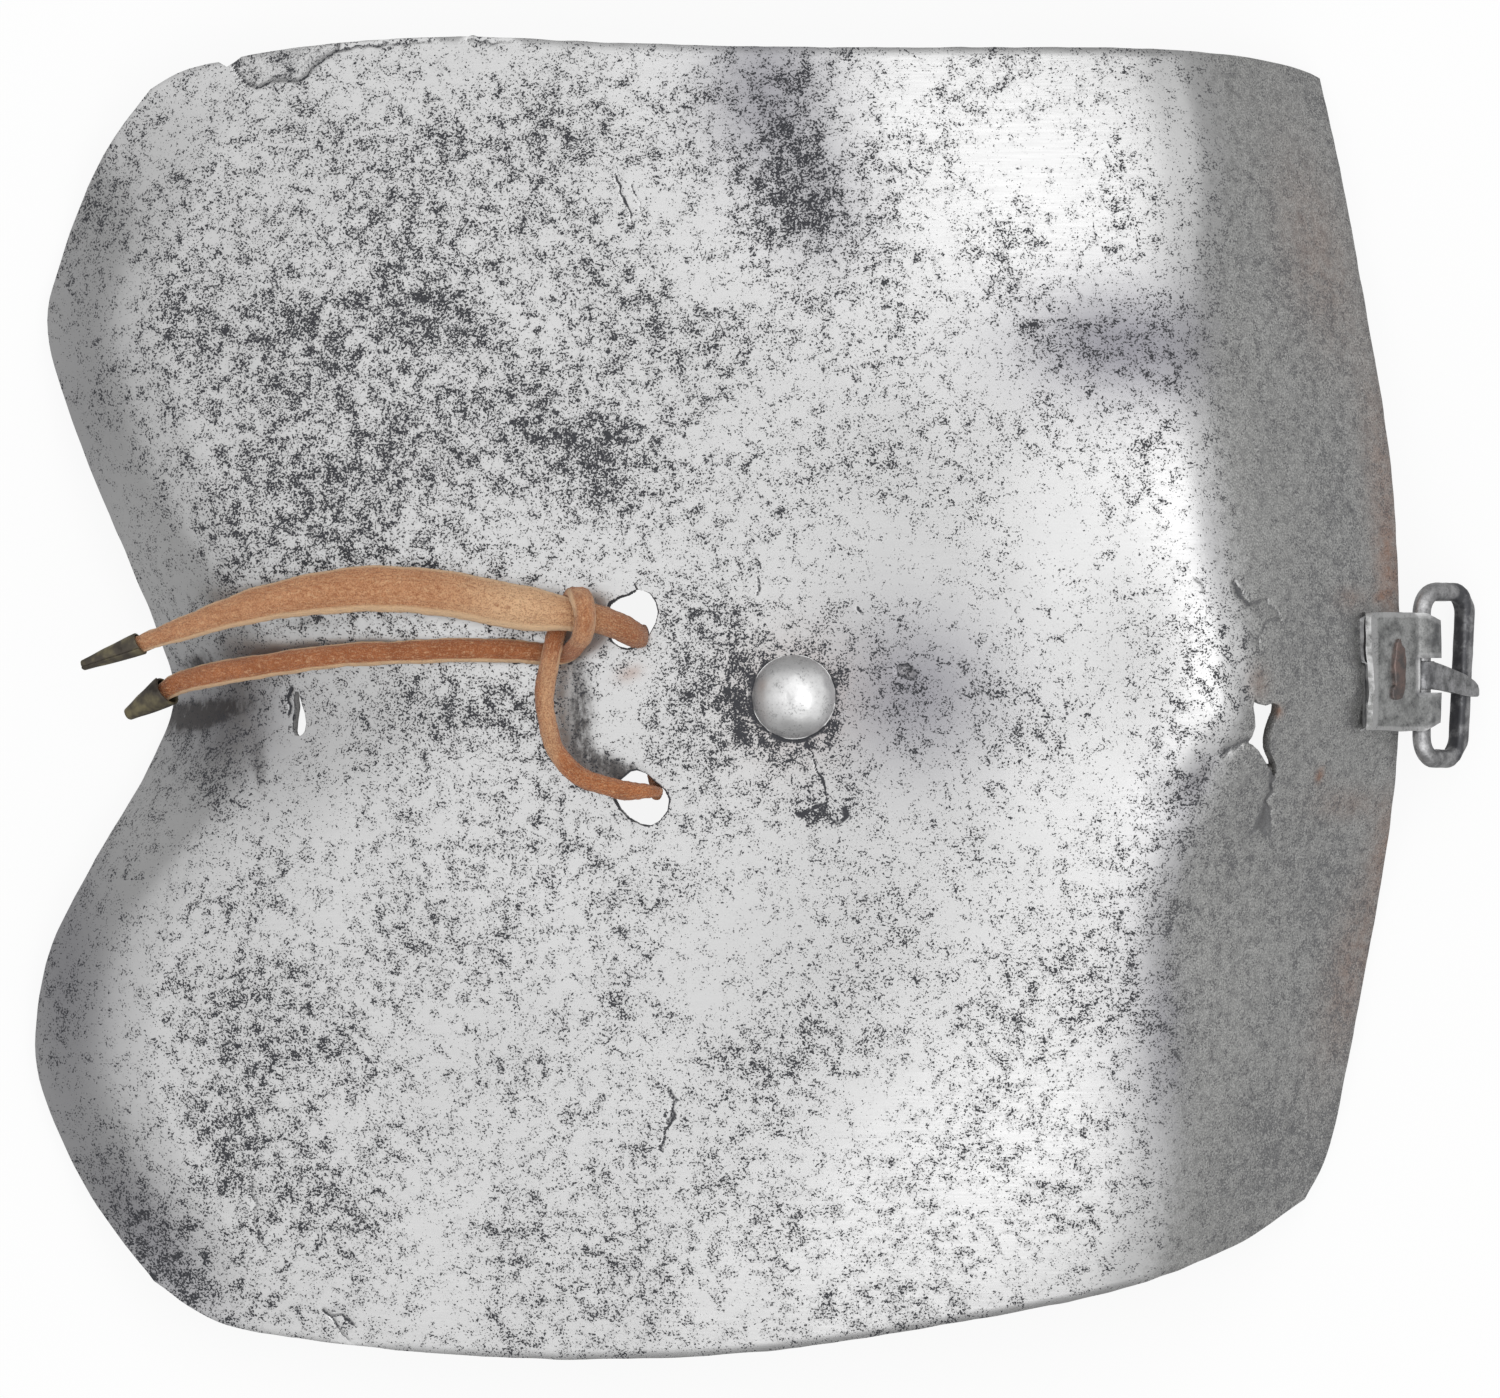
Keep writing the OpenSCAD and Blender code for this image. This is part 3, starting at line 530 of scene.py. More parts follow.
def pitted_steel(finish):
    """Hammered mild steel, polished long ago and pitted by rust since: bright where it is
    smooth, with clouds of fine dark pits, duller and browner on the turned side."""
    material, tree, end, mm = new_material("pitted_steel")
    pits, stain, scar_and_shade, tarnish_and_shade, painted_shadow, turned, hollow = (
        add_node(tree, "ShaderNodeAttribute", {"attribute_name": name}).outputs["Fac"]
        for name in ("pits", "stain", "scar_and_shade", "tarnish_and_shade", "painted_shadow", "turned", "hollow")
    )
    # Pits are 0.1 to 0.3 mm across, drawn from 0.25 mm up so that the view can hold them, and
    # they gather in clumps of 1 to 3 mm and clouds of 15 mm
    grain = noise_node(tree, mm, 0.28, 2.5, 0.62)
    clumps = noise_node(tree, mm, 1.9, 5.0, 0.72, 0.4)
    clouds = noise_node(tree, mm, 15.0, 2.0, 0.55)
    gather = math_node(tree, "MULTIPLY", math_node(tree, "SUBTRACT", clumps, 0.5), 0.85)
    gather = math_node(
        tree, "ADD", gather, math_node(tree, "MULTIPLY", math_node(tree, "SUBTRACT", clouds, 0.5), 0.3)
    )
    gather = math_node(tree, "ADD", gather, math_node(tree, "MULTIPLY", pits, 0.11))
    level = math_node(tree, "ADD", math_node(tree, "MULTIPLY", grain, 1.1), gather)
    specks = step_node(tree, level, 0.655, 0.695)
    # Where clumps are densest the pits have run together
    ragged = math_node(tree, "MULTIPLY", math_node(tree, "SUBTRACT", grain, 0.5), 0.35)
    blots = step_node(tree, math_node(tree, "ADD", gather, ragged), 0.2, 0.235, 0.0, 0.95)
    haze = step_node(tree, gather, -0.06, 0.22)
    islands = noise_node(tree, mm, 0.9, 3.0, 0.65)
    islands = math_node(tree, "ADD", islands, math_node(tree, "MULTIPLY", gather, 0.75))
    blots = math_node(tree, "MAXIMUM", blots, step_node(tree, islands, 0.735, 0.76, 0.0, 0.95))
    dark = math_node(tree, "MAXIMUM", specks, blots)
    # Cracks, flaked patches and hole rims turn dark, and so does the painted shade round the rivet
    torn = math_node(
        tree, "ADD", math_node(tree, "MULTIPLY", clumps, 1.3), math_node(tree, "MULTIPLY", grain, 1.5)
    )
    torn = math_node(tree, "MULTIPLY", scar_and_shade, math_node(tree, "SUBTRACT", torn, 0.4))
    dark = math_node(tree, "MAXIMUM", dark, step_node(tree, torn, 0.35, 0.7))
    # Old polishing lines run across the sheet, 0.25 mm apart
    lines_at = add_node(
        tree, "ShaderNodeMapping", inputs={"Vector": mm, "Scale": (0.16, 4.0, 1.0), "Rotation": (0, 0, 0.06)}
    ).outputs["Vector"]
    lines = noise_node(tree, lines_at, 1.0, 2.0, 0.6)
    smear = noise_node(tree, mm, 28.0, 3.0, 0.6)
    bright = mix_node(tree, smear, finish.steel, finish.steel_shade)
    bright = mix_node(tree, step_node(tree, lines, 0.3, 0.75, 0.0, 0.2), bright, finish.steel_shade)
    bright = mix_node(tree, math_node(tree, "MULTIPLY", haze, 0.3), bright, finish.pit_haze)
    # Tarnish darkens and dulls the polished face, and so do the painted dark reflections and painted shade given with
    # it
    dim = math_node(tree, "MULTIPLY", tarnish_and_shade, 0.85, True)
    bright = mix_node(tree, dim, bright, finish.tarnish_and_shade)
    # Beyond the fold the face is matt and sandy, with grains of 0.2 mm
    sand = noise_node(tree, mm, 0.24, 2.0, 0.7)
    dull = mix_node(tree, step_node(tree, sand, 0.36, 0.62), finish.turned, finish.turned_shade)
    mottle = noise_node(tree, mm, 1.5, 4.0, 0.7)
    dull = mix_node(tree, step_node(tree, mottle, 0.42, 0.75, 0.0, 0.5), dull, finish.turned_dark)
    spread = math_node(tree, "MULTIPLY", math_node(tree, "SUBTRACT", mottle, 0.5), 1.2)
    side_share = step_node(tree, math_node(tree, "ADD", turned, spread), 0.1, 0.9)
    side_share = math_node(tree, "MULTIPLY", side_share, step_node(tree, turned, 0.0, 0.3))
    base = mix_node(tree, side_share, bright, dull)
    rusty = math_node(
        tree, "MULTIPLY", stain, step_node(tree, noise_node(tree, mm, 1.6, 4.0, 0.7), 0.3, 0.6, 0.5),
        True,
    )
    base = mix_node(tree, math_node(tree, "MULTIPLY", rusty, 0.9), base, finish.rust)
    base = mix_node(tree, math_node(tree, "MULTIPLY", hollow, 0.8), base, finish.hollow)
    # Painted shadow of the lace and painted shade at the notch and the tear, broken into streaks and mixed into the
    # colour
    streaks_at = add_node(
        tree, "ShaderNodeMapping", inputs={"Vector": mm, "Scale": (1.0, 0.3, 1.0)}
    ).outputs["Vector"]
    streaks = math_node(tree, "ADD", noise_node(tree, streaks_at, 0.9, 4.0, 0.7), clumps)
    streaked_shadow = math_node(tree, "MULTIPLY", painted_shadow, math_node(tree, "SUBTRACT", math_node(tree, "MULTIPLY", streaks, 2.0), 1.0))
    black = step_node(tree, streaked_shadow, 0.0, 1.45, 0.0, 0.88)
    base = mix_node(tree, black, base, finish.painted_shadow)
    speck_share = step_node(tree, turned, 0.0, 1.0, 1.0, 0.7)
    base = mix_node(tree, math_node(tree, "MULTIPLY", dark, speck_share), base, finish.pit_and_shade)
    rough = step_node(tree, lines, 0.25, 0.8, 0.28, 0.34)
    rough = math_node(tree, "ADD", rough, math_node(tree, "MULTIPLY", haze, 0.12))
    rough = math_node(tree, "ADD", rough, math_node(tree, "MULTIPLY", dark, 0.28))
    rough = math_node(tree, "ADD", rough, math_node(tree, "MULTIPLY", dim, 0.12))
    rough = math_node(tree, "ADD", rough, math_node(tree, "MULTIPLY", side_share, 0.16), True)
    metal = math_node(tree, "SUBTRACT", 1.0, math_node(tree, "MULTIPLY", dark, 0.75))
    metal = math_node(tree, "SUBTRACT", metal, math_node(tree, "MULTIPLY", rusty, 0.4))
    metal = math_node(tree, "SUBTRACT", metal, math_node(tree, "MULTIPLY", black, 0.6), True)
    depth = math_node(tree, "MULTIPLY", dark, -1.0)
    depth = math_node(tree, "ADD", depth, math_node(tree, "MULTIPLY", lines, 0.06))
    grit = math_node(tree, "MULTIPLY", math_node(tree, "MULTIPLY", sand, turned), 1.8)
    depth = math_node(tree, "ADD", depth, grit)
    bump = add_node(
        tree, "ShaderNodeBump", inputs={"Strength": 0.55, "Distance": 0.00009, "Height": depth}
    )
    steel = add_node(
        tree, "ShaderNodeBsdfPrincipled",
        inputs={"Base Color": base, "Metallic": metal, "Roughness": rough,
                "Normal": bump.outputs["Normal"]},
    )
    tree.links.new(steel.outputs[0], end.inputs["Surface"])
    return material


def forged_steel(name, light, shade, shade_and_grime, grain, gloss):
    """Hand-forged iron rubbed smooth: lighter on its sharp edges, as painted highlight and rubbed wear, and darker in
    its hollows and where a layer marks it, as painted shade with dirt.
    """
    material, tree, end, mm = new_material(name)
    mottle = noise_node(tree, mm, grain, 4.0, 0.6)
    fine = noise_node(tree, mm, 0.3, 2.0, 0.65)
    point = add_node(tree, "ShaderNodeNewGeometry").outputs["Pointiness"]
    base = mix_node(tree, step_node(tree, mottle, 0.36, 0.66, 0.0, 0.7), light, shade)
    base = mix_node(tree, step_node(tree, fine, 0.4, 0.7, 0.0, 0.35), base, shade)
    # Hollows turn darker: dirt and painted shade
    hollow_dirt_and_shade = step_node(tree, point, 0.4, 0.495, 0.9, 0.0)
    spots = step_node(
        tree, math_node(tree, "ADD", mottle, math_node(tree, "MULTIPLY", fine, 0.8)), 0.98, 1.2
    )
    dirt_and_shade = math_node(tree, "MAXIMUM", hollow_dirt_and_shade, math_node(tree, "MULTIPLY", spots, 0.6))
    # Painted shade where the piece's layer marks it, in patches of 1 to 2 mm
    painted_shade = add_node(tree, "ShaderNodeAttribute", {"attribute_name": "shade_and_grime"}).outputs["Fac"]
    patchy = step_node(tree, mottle, 0.3, 0.7, 0.6, 1.2)
    dirt_and_shade = math_node(tree, "MAXIMUM", dirt_and_shade, math_node(tree, "MULTIPLY", painted_shade, patchy), True)
    # Sharp edges turn lighter: a painted highlight, and rubbed wear
    base = mix_node(tree, step_node(tree, point, 0.515, 0.59, 0.0, 0.6), base, colour("#e4e4e4"))
    base = mix_node(tree, math_node(tree, "MULTIPLY", dirt_and_shade, 0.88), base, shade_and_grime)
    rough = step_node(tree, mottle, 0.3, 0.7, gloss, gloss + 0.1)
    metal = math_node(tree, "SUBTRACT", 1.0, math_node(tree, "MULTIPLY", dirt_and_shade, 0.6))
    depth = math_node(tree, "ADD", mottle, math_node(tree, "MULTIPLY", fine, 0.35))
    bump = add_node(
        tree, "ShaderNodeBump", inputs={"Strength": 0.4, "Distance": 0.0001, "Height": depth}
    )
    steel = add_node(
        tree, "ShaderNodeBsdfPrincipled",
        inputs={"Base Color": base, "Metallic": metal, "Roughness": rough,
                "Normal": bump.outputs["Normal"]},
    )
    tree.links.new(steel.outputs[0], end.inputs["Surface"])
    return material


def lace_leather(name, face, shade, edge, reddened):
    """Old vegetable-tanned thong: matt, fibrous, redder where handled and paler where cut."""
    material, tree, end, mm = new_material(name)
    along = add_node(tree, "ShaderNodeUVMap", {"uv_map": "strip"}).outputs["UV"]
    cut, red, pale = (
        add_node(tree, "ShaderNodeAttribute", {"attribute_name": layer}).outputs["Fac"]
        for layer in ("cut", "red", "pale")
    )
    # Fibres are about 0.2 mm thick and 1 mm long, and lie along the strip
    fibre_at = add_node(
        tree, "ShaderNodeMapping", inputs={"Vector": along, "Scale": (1.1, 4.6, 1.0)}
    ).outputs["Vector"]
    fibres = noise_node(tree, fibre_at, 1.0, 3.0, 0.7, 0.6)
    blotch = noise_node(tree, mm, 3.0, 3.0, 0.6)
    nap = noise_node(tree, mm, 0.2, 2.0, 0.6)
    base = mix_node(tree, step_node(tree, blotch, 0.3, 0.75, 0.0, 0.8), face, shade)
    base = mix_node(tree, math_node(tree, "MULTIPLY", red, 0.9, True), base, reddened)
    base = mix_node(tree, math_node(tree, "MULTIPLY", pale, 0.8, True), base, edge)
    base = mix_node(tree, step_node(tree, fibres, 0.5, 0.7, 0.0, 0.55), base, reddened)
    base = mix_node(tree, step_node(tree, fibres, 0.5, 0.3, 0.0, 0.45), base, edge)
    base = mix_node(tree, step_node(tree, nap, 0.48, 0.38, 0.0, 0.5), base, reddened)
    base = mix_node(tree, step_node(tree, nap, 0.52, 0.7, 0.0, 0.3), base, edge)
    base = mix_node(tree, step_node(tree, cut, 0.3, 0.9, 0.0, 0.85), base, edge)
    height_of = math_node(tree, "ADD", fibres, math_node(tree, "MULTIPLY", nap, 0.8))
    bump = add_node(
        tree, "ShaderNodeBump", inputs={"Strength": 1.0, "Distance": 0.0003, "Height": height_of}
    )
    leather = add_node(
        tree, "ShaderNodeBsdfPrincipled",
        inputs={"Base Color": base, "Roughness": 0.85, "Specular IOR Level": 0.25,
                "Sheen Weight": 0.25, "Sheen Roughness": 0.5, "Normal": bump.outputs["Normal"]},
    )
    tree.links.new(leather.outputs[0], end.inputs["Surface"])
    return material


def worn_brass():
    """Thin rolled brass, almost black with age and rubbed to a dull green gold in places."""
    material, tree, end, mm = new_material("aged_brass")
    rub = noise_node(tree, mm, 2.6, 3.0, 0.55)
    base = mix_node(tree, step_node(tree, rub, 0.4, 0.72), colour("#5e5850"), colour("#938a6c"))
    base = mix_node(tree, step_node(tree, rub, 0.25, 0.4, 0.6, 0.0), base, colour("#2f2b28"))
    bump = add_node(
        tree, "ShaderNodeBump", inputs={"Strength": 0.4, "Distance": 0.0001, "Height": rub}
    )
    brass = add_node(
        tree, "ShaderNodeBsdfPrincipled",
        inputs={"Base Color": base, "Metallic": 0.8,
                "Roughness": step_node(tree, rub, 0.3, 0.7, 0.6, 0.4),
                "Normal": bump.outputs["Normal"]},
    )
    tree.links.new(brass.outputs[0], end.inputs["Surface"])
    return material


# Making and finishing pieces


def finish_piece(bm, name, material, body, nodes, place=None, sharp=38):
    """Brings a shape to metres and makes it a piece that stands for CAD nodes on a body."""
    if place is not None:
        bmesh.ops.transform(bm, matrix=place, verts=bm.verts)
    bmesh.ops.scale(bm, vec=(MM,) * 3, verts=bm.verts)
    mesh = bpy.data.meshes.new(name)
    bm.to_mesh(mesh)
    bm.free()
    mesh.shade_smooth()
    mesh.set_sharp_from_angle(angle=math.radians(sharp))
    mesh.materials.append(material)
    piece = bpy.data.objects.new(name, mesh)
    bpy.context.scene.collection.objects.link(piece)
    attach(piece, body)
    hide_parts(*nodes)
    return piece


def open_hole(bm, outline):
    """Clears the flat sheet inside an outline and draws its edge onto the outline."""
    reach = [min(p[k] for p in outline) - 1 for k in (0, 1)]
    far = [max(p[k] for p in outline) + 1 for k in (0, 1)]
    within = {
        v for v in bm.verts
        if reach[0] < v.co.x < far[0] and reach[1] < v.co.y < far[1]
        and inside(v.co.x, v.co.y, outline)
    }
    rim = {v for v in within if any(e.other_vert(v) not in within for e in v.link_edges)}
    bmesh.ops.delete(bm, geom=[v for v in within if v not in rim], context="VERTS")
    spare = {f for v in rim for f in v.link_faces if all(w in rim for w in f.verts)}
    bmesh.ops.delete(bm, geom=list(spare), context="FACES")
    ring = outline + outline[:1]
    for v in rim:
        if not v.is_valid:
            continue
        best, spot = 1e9, None
        for (ax, ay), (bx, by) in zip(ring, ring[1:]):
            ux, uy = bx - ax, by - ay
            t = ((v.co.x - ax) * ux + (v.co.y - ay) * uy) / (ux * ux + uy * uy)
            t = min(max(t, 0), 1)
            x, y = ax + ux * t, ay + uy * t
            d = math.hypot(v.co.x - x, v.co.y - y)
            if d < best:
                best, spot = d, (x, y)
        v.co.x, v.co.y = spot


def refine(bm, lines, reach, cuts):
    """Divides the flat sheet's cells near broken lines, so that fine wear can be shaped."""
    boxes = [
        (min(p[0] for p in line) - reach, max(p[0] for p in line) + reach,
         min(p[1] for p in line) - reach, max(p[1] for p in line) + reach, line)
        for line in lines
    ]
    near = {
        v for v in bm.verts
        if any(
            x0 < v.co.x < x1 and y0 < v.co.y < y1
            and line_distance(v.co.x, v.co.y, line)[0] < reach
            for x0, x1, y0, y1, line in boxes
        )
    }
    edges = {e for f in bm.faces if all(v in near for v in f.verts) for e in f.edges}
    bmesh.ops.subdivide_edges(bm, edges=list(edges), cuts=cuts, use_grid_fill=True)


def crowded(places):
    """A look-up that brings the grid's lines closer at places, given as [centre, width, gain]."""
    n, total, pairs = 500, 0.0, []
    for i in range(n + 1):
        t = i / n
        pairs.append((total, t))
        total += 1 + sum(g * math.exp(-(((t - c) / w) ** 2)) for c, w, g in places)
    last = pairs[-1][0]
    return table([(run / last, t) for run, t in pairs])


def round_edges(bm, reach, segments, angle=50, near=None):
    """Wears down the sharp edges of a closed shape, or only those marked in a layer."""
    bm.normal_update()
    sharp = [
        e for e in bm.edges
        if len(e.link_faces) == 2 and e.calc_face_angle(0) > math.radians(angle)
        and (near is None or all(v[near] > 0.5 for v in e.verts))
    ]
    bmesh.ops.bevel(
        bm, geom=sharp, offset=reach, offset_type="OFFSET", segments=segments, profile=0.5,
        affect="EDGES", clamp_overlap=True, material=-1,
    )


def make_sheet(sizes, finish):
    """The raised plate with its holes, tear, dents and worn rim."""
    bm = bmesh.new()
    bmesh.ops.create_grid(
        bm, x_segments=sizes.cells_across, y_segments=sizes.cells_along, size=0.5
    )
    across = crowded([(0.38, 0.06, 1.6), (0.87, 0.06, 1.9), (0.10, 0.03, 1.0)])
    along = crowded([(0.48, 0.11, 1.5)])
    for v in bm.verts:
        u, w = across(v.co.x + 0.5), along(v.co.y + 0.5)
        x, y = plan(u, w)
        v.co = (x, y, 0)
    for v in bm.verts:
        v.co.y -= 1.3 * hump(v.co.x, v.co.y, (-71.4, 87.4, 0.9, 2.4, 0))
        if v.is_boundary:
            inward = Vector((-v.co.x, -v.co.y, 0)).normalized()
            v.co += inward * (0.1 + 0.12 * waves(v.co.x, v.co.y, 3.0, 5.5))
    openings = (UPPER_HOLE, LOWER_HOLE, SLIT, TEAR)
    outlines = [*openings, *(outline for _, outline in FLAKES)]
    marks = [line for *_, line in CRACKS] + [ring + ring[:1] for ring in outlines]
    refine(bm, marks, 2.4, 1)
    refine(bm, marks, 1.1, 1)
    refine(bm, [line for half, *_, line in CRACKS if half < 0.4], 0.7, 1)
    for outline in openings:
        open_hole(bm, outline)
    bmesh.ops.delete(bm, geom=[v for v in bm.verts if not v.link_faces], context="VERTS")
    rim = bm.verts.layers.float.new("rim")
    for v in bm.verts:
        v[rim] = float(v.is_boundary)
    wave = sizes.hammer_waves / MM
    for v in bm.verts:
        v.co.z = height(v.co.x, v.co.y) + relief(v.co.x, v.co.y, wave)
    bm.normal_update()
    if sum(f.normal.z for f in bm.faces) < 0:
        bmesh.ops.reverse_faces(bm, faces=bm.faces)
    bmesh.ops.solidify(bm, geom=bm.faces[:], thickness=sizes.thickness / MM)
    round_edges(bm, sizes.rim_wear / MM, 2, near=rim)
    names = ("pits", "stain", "scar_and_shade", "tarnish_and_shade", "painted_shadow", "turned", "hollow")
    layers = [bm.verts.layers.float.new(name) for name in names]
    bm.normal_update()
    for v in bm.verts:
        x, y = v.co.x, v.co.y
        low = height(x, y) - v.co.z
        values = (
            *wear(x, y),
            turned_share(x, y),
            ease((low - 0.35) / 0.7),
        )
        for layer, value in zip(layers, values):
            v[layer] = value
    return finish_piece(
        bm, "plate_sheet", pitted_steel(finish), "plate", ["elbow_plate"]
    )


# The lace, as [place, width, thickness, way its flat side faces]

THICK = 1.6
WIDE_ROUTE = [
    (-15.7, 8.5, 36.8, 2.6, 1.9, *EAST),
    (-15.8, 8.5, 38.0, 3.0, 2.2, *EAST),
    (-16.8, 8.9, 39.6, 3.5, 2.8, *EAST_SKY),
    (-18.8, 9.9, 40.3, 3.7, 2.9, *SKY),
    (-21.4, 10.8, 40.7, 3.8, 2.6, *SKY),
    (-24.4, 11.3, 40.4, 4.3, 2.0, *SKY),
    (-29.0, 12.0, 39.6, 5.6, THICK, *SKY),
    (-35.0, 13.0, 37.6, 6.2, THICK, *SKY),
    (-41.5, 14.2, 35.2, 6.2, THICK, *SKY),
    (-47.5, 14.8, 33.4, 6.2, THICK, *SKY),
    (-53.3, 14.9, 31.8, 6.2, THICK, *SKY),
    (-60.0, 14.2, 29.6, 5.6, THICK, *SKY),
    (-66.1, 13.0, 27.2, 4.9, THICK, *SKY),
    (-71.5, 11.6, 24.7, 4.1, THICK, *SKY),
    (-76.5, 9.9, 22.0, 3.3, THICK, *SKY),
    (-81.1, 8.3, 19.2, 2.6, 1.5, *SKY),
    (-84.2, 7.2, 17.4, 2.2, 1.4, *SKY),
]
NARROW_ROUTE = [
    (-13.6, -12.4, 36.6, 1.5, 1.5, *EAST),
    (-13.5, -12.4, 37.8, 1.5, 1.5, *EAST),
    (-15.0, -12.3, 39.2, 2.0, THICK, *EAST_SKY),
    (-18.8, -12.0, 39.4, 2.5, 1.9, *SKY),
    (-23.8, -10.3, 39.2, 2.5, 1.9, *SKY),
    (-27.1, -6.8, 39.5, 2.5, 1.9, *SKY),
    (-28.6, -1.6, 40.0, 2.5, 1.9, *SKY),
    (-28.5, 2.0, 39.9, 2.6, 1.9, *SKY),
    (-28.0, 4.8, 39.4, 2.6, THICK, *SKY),
    (-27.3, 8.0, 38.3, 2.5, THICK, *SKY),
    (-26.4, 11.0, 37.9, 2.3, THICK, *SKY),
    (-25.4, 13.2, 38.4, 2.3, THICK, *SOUTH_SKY),
    (-24.4, 14.4, 40.0, 2.6, THICK, *SOUTH),
    (-23.6, 13.5, 41.8, 3.0, 1.8, *SOUTH_GROUND),
    (-23.1, 11.2, 42.7, 3.0, 1.9, *GROUND),
    (-23.5, 8.8, 42.0, 2.9, 1.9, *GROUND),
    (-24.4, 7.3, 39.9, 2.6, 1.8, *NORTH_GROUND),
    (-25.6, 6.3, 37.6, 2.6, THICK, *NORTH_GROUND),
    (-27.6, 6.1, 36.4, 2.8, THICK, *GROUND),
    (-32.0, 6.5, 35.5, 3.1, THICK, *GROUND),
    (-37.0, 6.7, 34.5, 3.2, THICK, *GROUND),
    (-41.5, 6.6, 33.4, 3.2, THICK, *GROUND),
    (-47.5, 6.4, 31.6, 3.2, THICK, *GROUND),
    (-53.3, 6.2, 29.5, 3.2, THICK, *GROUND),
    (-60.0, 5.5, 26.5, 3.2, THICK, *GROUND),
    (-66.1, 4.6, 23.3, 3.2, THICK, *GROUND),
    (-71.5, 3.7, 19.9, 3.3, THICK, *GROUND),
    (-77.8, 2.3, 15.3, 3.1, THICK, *GROUND),
    (-80.5, 0.7, 13.4, 2.5, 1.4, *GROUND),
]
BRIDGE_ROUTE = [
    (-13.6, -12.4, 36.3, 2.3, THICK, *EAST),
    (-13.6, -12.2, 35.4, 2.3, THICK, *EAST),
    (-13.6, -11.2, 34.6, 2.3, THICK, *EAST_GROUND),
    (-13.7, -9.4, 34.5, 2.3, THICK, *GROUND),
    (-14.1, -4.0, 35.0, 2.3, THICK, *GROUND),
    (-14.6, 1.0, 35.0, 2.3, THICK, *GROUND),
    (-15.1, 6.0, 34.6, 2.3, THICK, *GROUND),
    (-15.3, 7.8, 34.7, 2.3, THICK, *EAST_GROUND),
    (-15.4, 8.9, 35.6, 2.3, THICK, *EAST),
]
RING = 20


def make_strip(name, route, steps, material, nodes, tone):
    """A flat thong along a route, with rounded cut edges and a rough nap."""
    rows = curve(route, steps)
    centres = [Vector(r[:3]) for r in rows]
    bm = bmesh.new()
    uv = bm.loops.layers.uv.new("strip")
    cut, red, pale, along, girth, around = (
        bm.verts.layers.float.new(layer)
        for layer in ("cut", "red", "pale", "along", "girth", "around")
    )
    ring = bmesh.ops.create_circle(bm, cap_ends=False, segments=RING, radius=1)["verts"]
    edges, run = bm.edges[:], 0.0
    for i, row in enumerate(rows):
        if i:
            grown = bmesh.ops.extrude_edge_only(bm, edges=edges)["geom"]
            edges = [g for g in grown if isinstance(g, bmesh.types.BMEdge)]
            fresh = {g for g in grown if isinstance(g, bmesh.types.BMVert)}
            ring = [
                next(e.other_vert(v) for e in v.link_edges if e.other_vert(v) in fresh)
                for v in ring
            ]
            run += (centres[i] - centres[i - 1]).length
        a, b = centres[max(i - 1, 0)], centres[min(i + 1, len(rows) - 1)]
        t = (b - a).normalized()
        wide = Vector(row[5:8]).cross(t).normalized()
        flat = t.cross(wide)
        half_w, half_t = row[3] / 2, row[4] / 2
        rolled = ease((row[4] / row[3] - 0.5) / 0.3)
        for k, v in enumerate(ring):
            q = 2 * math.pi * (k + 0.5) / RING
            c, s = math.cos(q), math.sin(q)
            # Flat parts are nearly square at the cut edges, and rolled ones are round
            x = math.copysign(abs(c) ** (0.55 + 0.4 * rolled), c)
            z = math.copysign(abs(s) ** (0.6 + 0.35 * rolled), s)
            rough = 0.09 * noise.noise(Vector((run / 1.3, 7 * c, 7 * s)))
            rough += 0.08 * noise.noise(Vector((run / 0.5, 19 * c, 19 * s)))
            wander = 0.2 * noise.noise(Vector((run / 4.0, 3.3 + (c > 0), 1.0)))
            p = centres[i] + wide * (x * (half_w + rough + wander)) + flat * (z * (half_t + rough))
            v.co = p
            # More of the cut edge shows on the side towards the plate's lower lobe
            from_edge = 0.52 if wide.y * x < 0 else 0.74
            v[cut] = ease((abs(x) - from_edge) / 0.3) * (1 - rolled)
            v[red], v[pale] = tone(p)
            v[along], v[girth], v[around] = run, row[3] + row[4], k
    for f in bm.faces:
        places = [loop.vert[around] for loop in f.loops]
        over_seam = max(places) - min(places) > RING / 2
        for loop, k in zip(f.loops, places):
            k += RING * (over_seam and k < RING / 2)
            loop[uv].uv = (loop.vert[along], k * 2 * loop.vert[girth] / RING)
    bmesh.ops.holes_fill(bm, edges=bm.edges[:], sides=0)
    bmesh.ops.recalc_face_normals(bm, faces=bm.faces)
    piece = finish_piece(bm, name, material, "plate", nodes, sharp=75)
    return piece, [c * MM for c in centres], run * MM


def make_aglet(name, mouth, tip, mouth_d, tip_d, nodes, turn):
    """A lace tag rolled from thin sheet into a cone, with an open seam."""
    mouth, tip = Vector(mouth), Vector(tip)
    long = (tip - mouth).length
    bm = bmesh.new()
    bmesh.ops.create_grid(bm, x_segments=44, y_segments=16, size=0.5)
    for v in bm.verts:
        s, t = v.co.x + 0.5, v.co.y + 0.5
        a = turn + 2 * math.pi * 1.13 * s
        r = (mouth_d + (tip_d - mouth_d) * t**1.15) / 2 - 0.3 + 0.24 * s
        r *= 1 + 0.05 * noise.noise(Vector((math.cos(a) * 1.5, math.sin(a) * 1.5, t * 4)))
        z = long * t - 0.35 * (1 - t) * math.sin(a * 1.0 + 0.8)
        v.co = (r * math.cos(a), r * math.sin(a), z)
    bm.normal_update()
    if sum(f.normal.dot(Vector((*f.calc_center_median().xy, 0))) for f in bm.faces) < 0:
        bmesh.ops.reverse_faces(bm, faces=bm.faces)
    bmesh.ops.solidify(bm, geom=bm.faces[:], thickness=0.28)
    round_edges(bm, 0.07, 2)
    place = Matrix.Translation(mouth) @ (tip - mouth).to_track_quat("Z", "Y").to_matrix().to_4x4()
    return finish_piece(bm, name, worn_brass(), "plate", nodes, place)


# Fittings

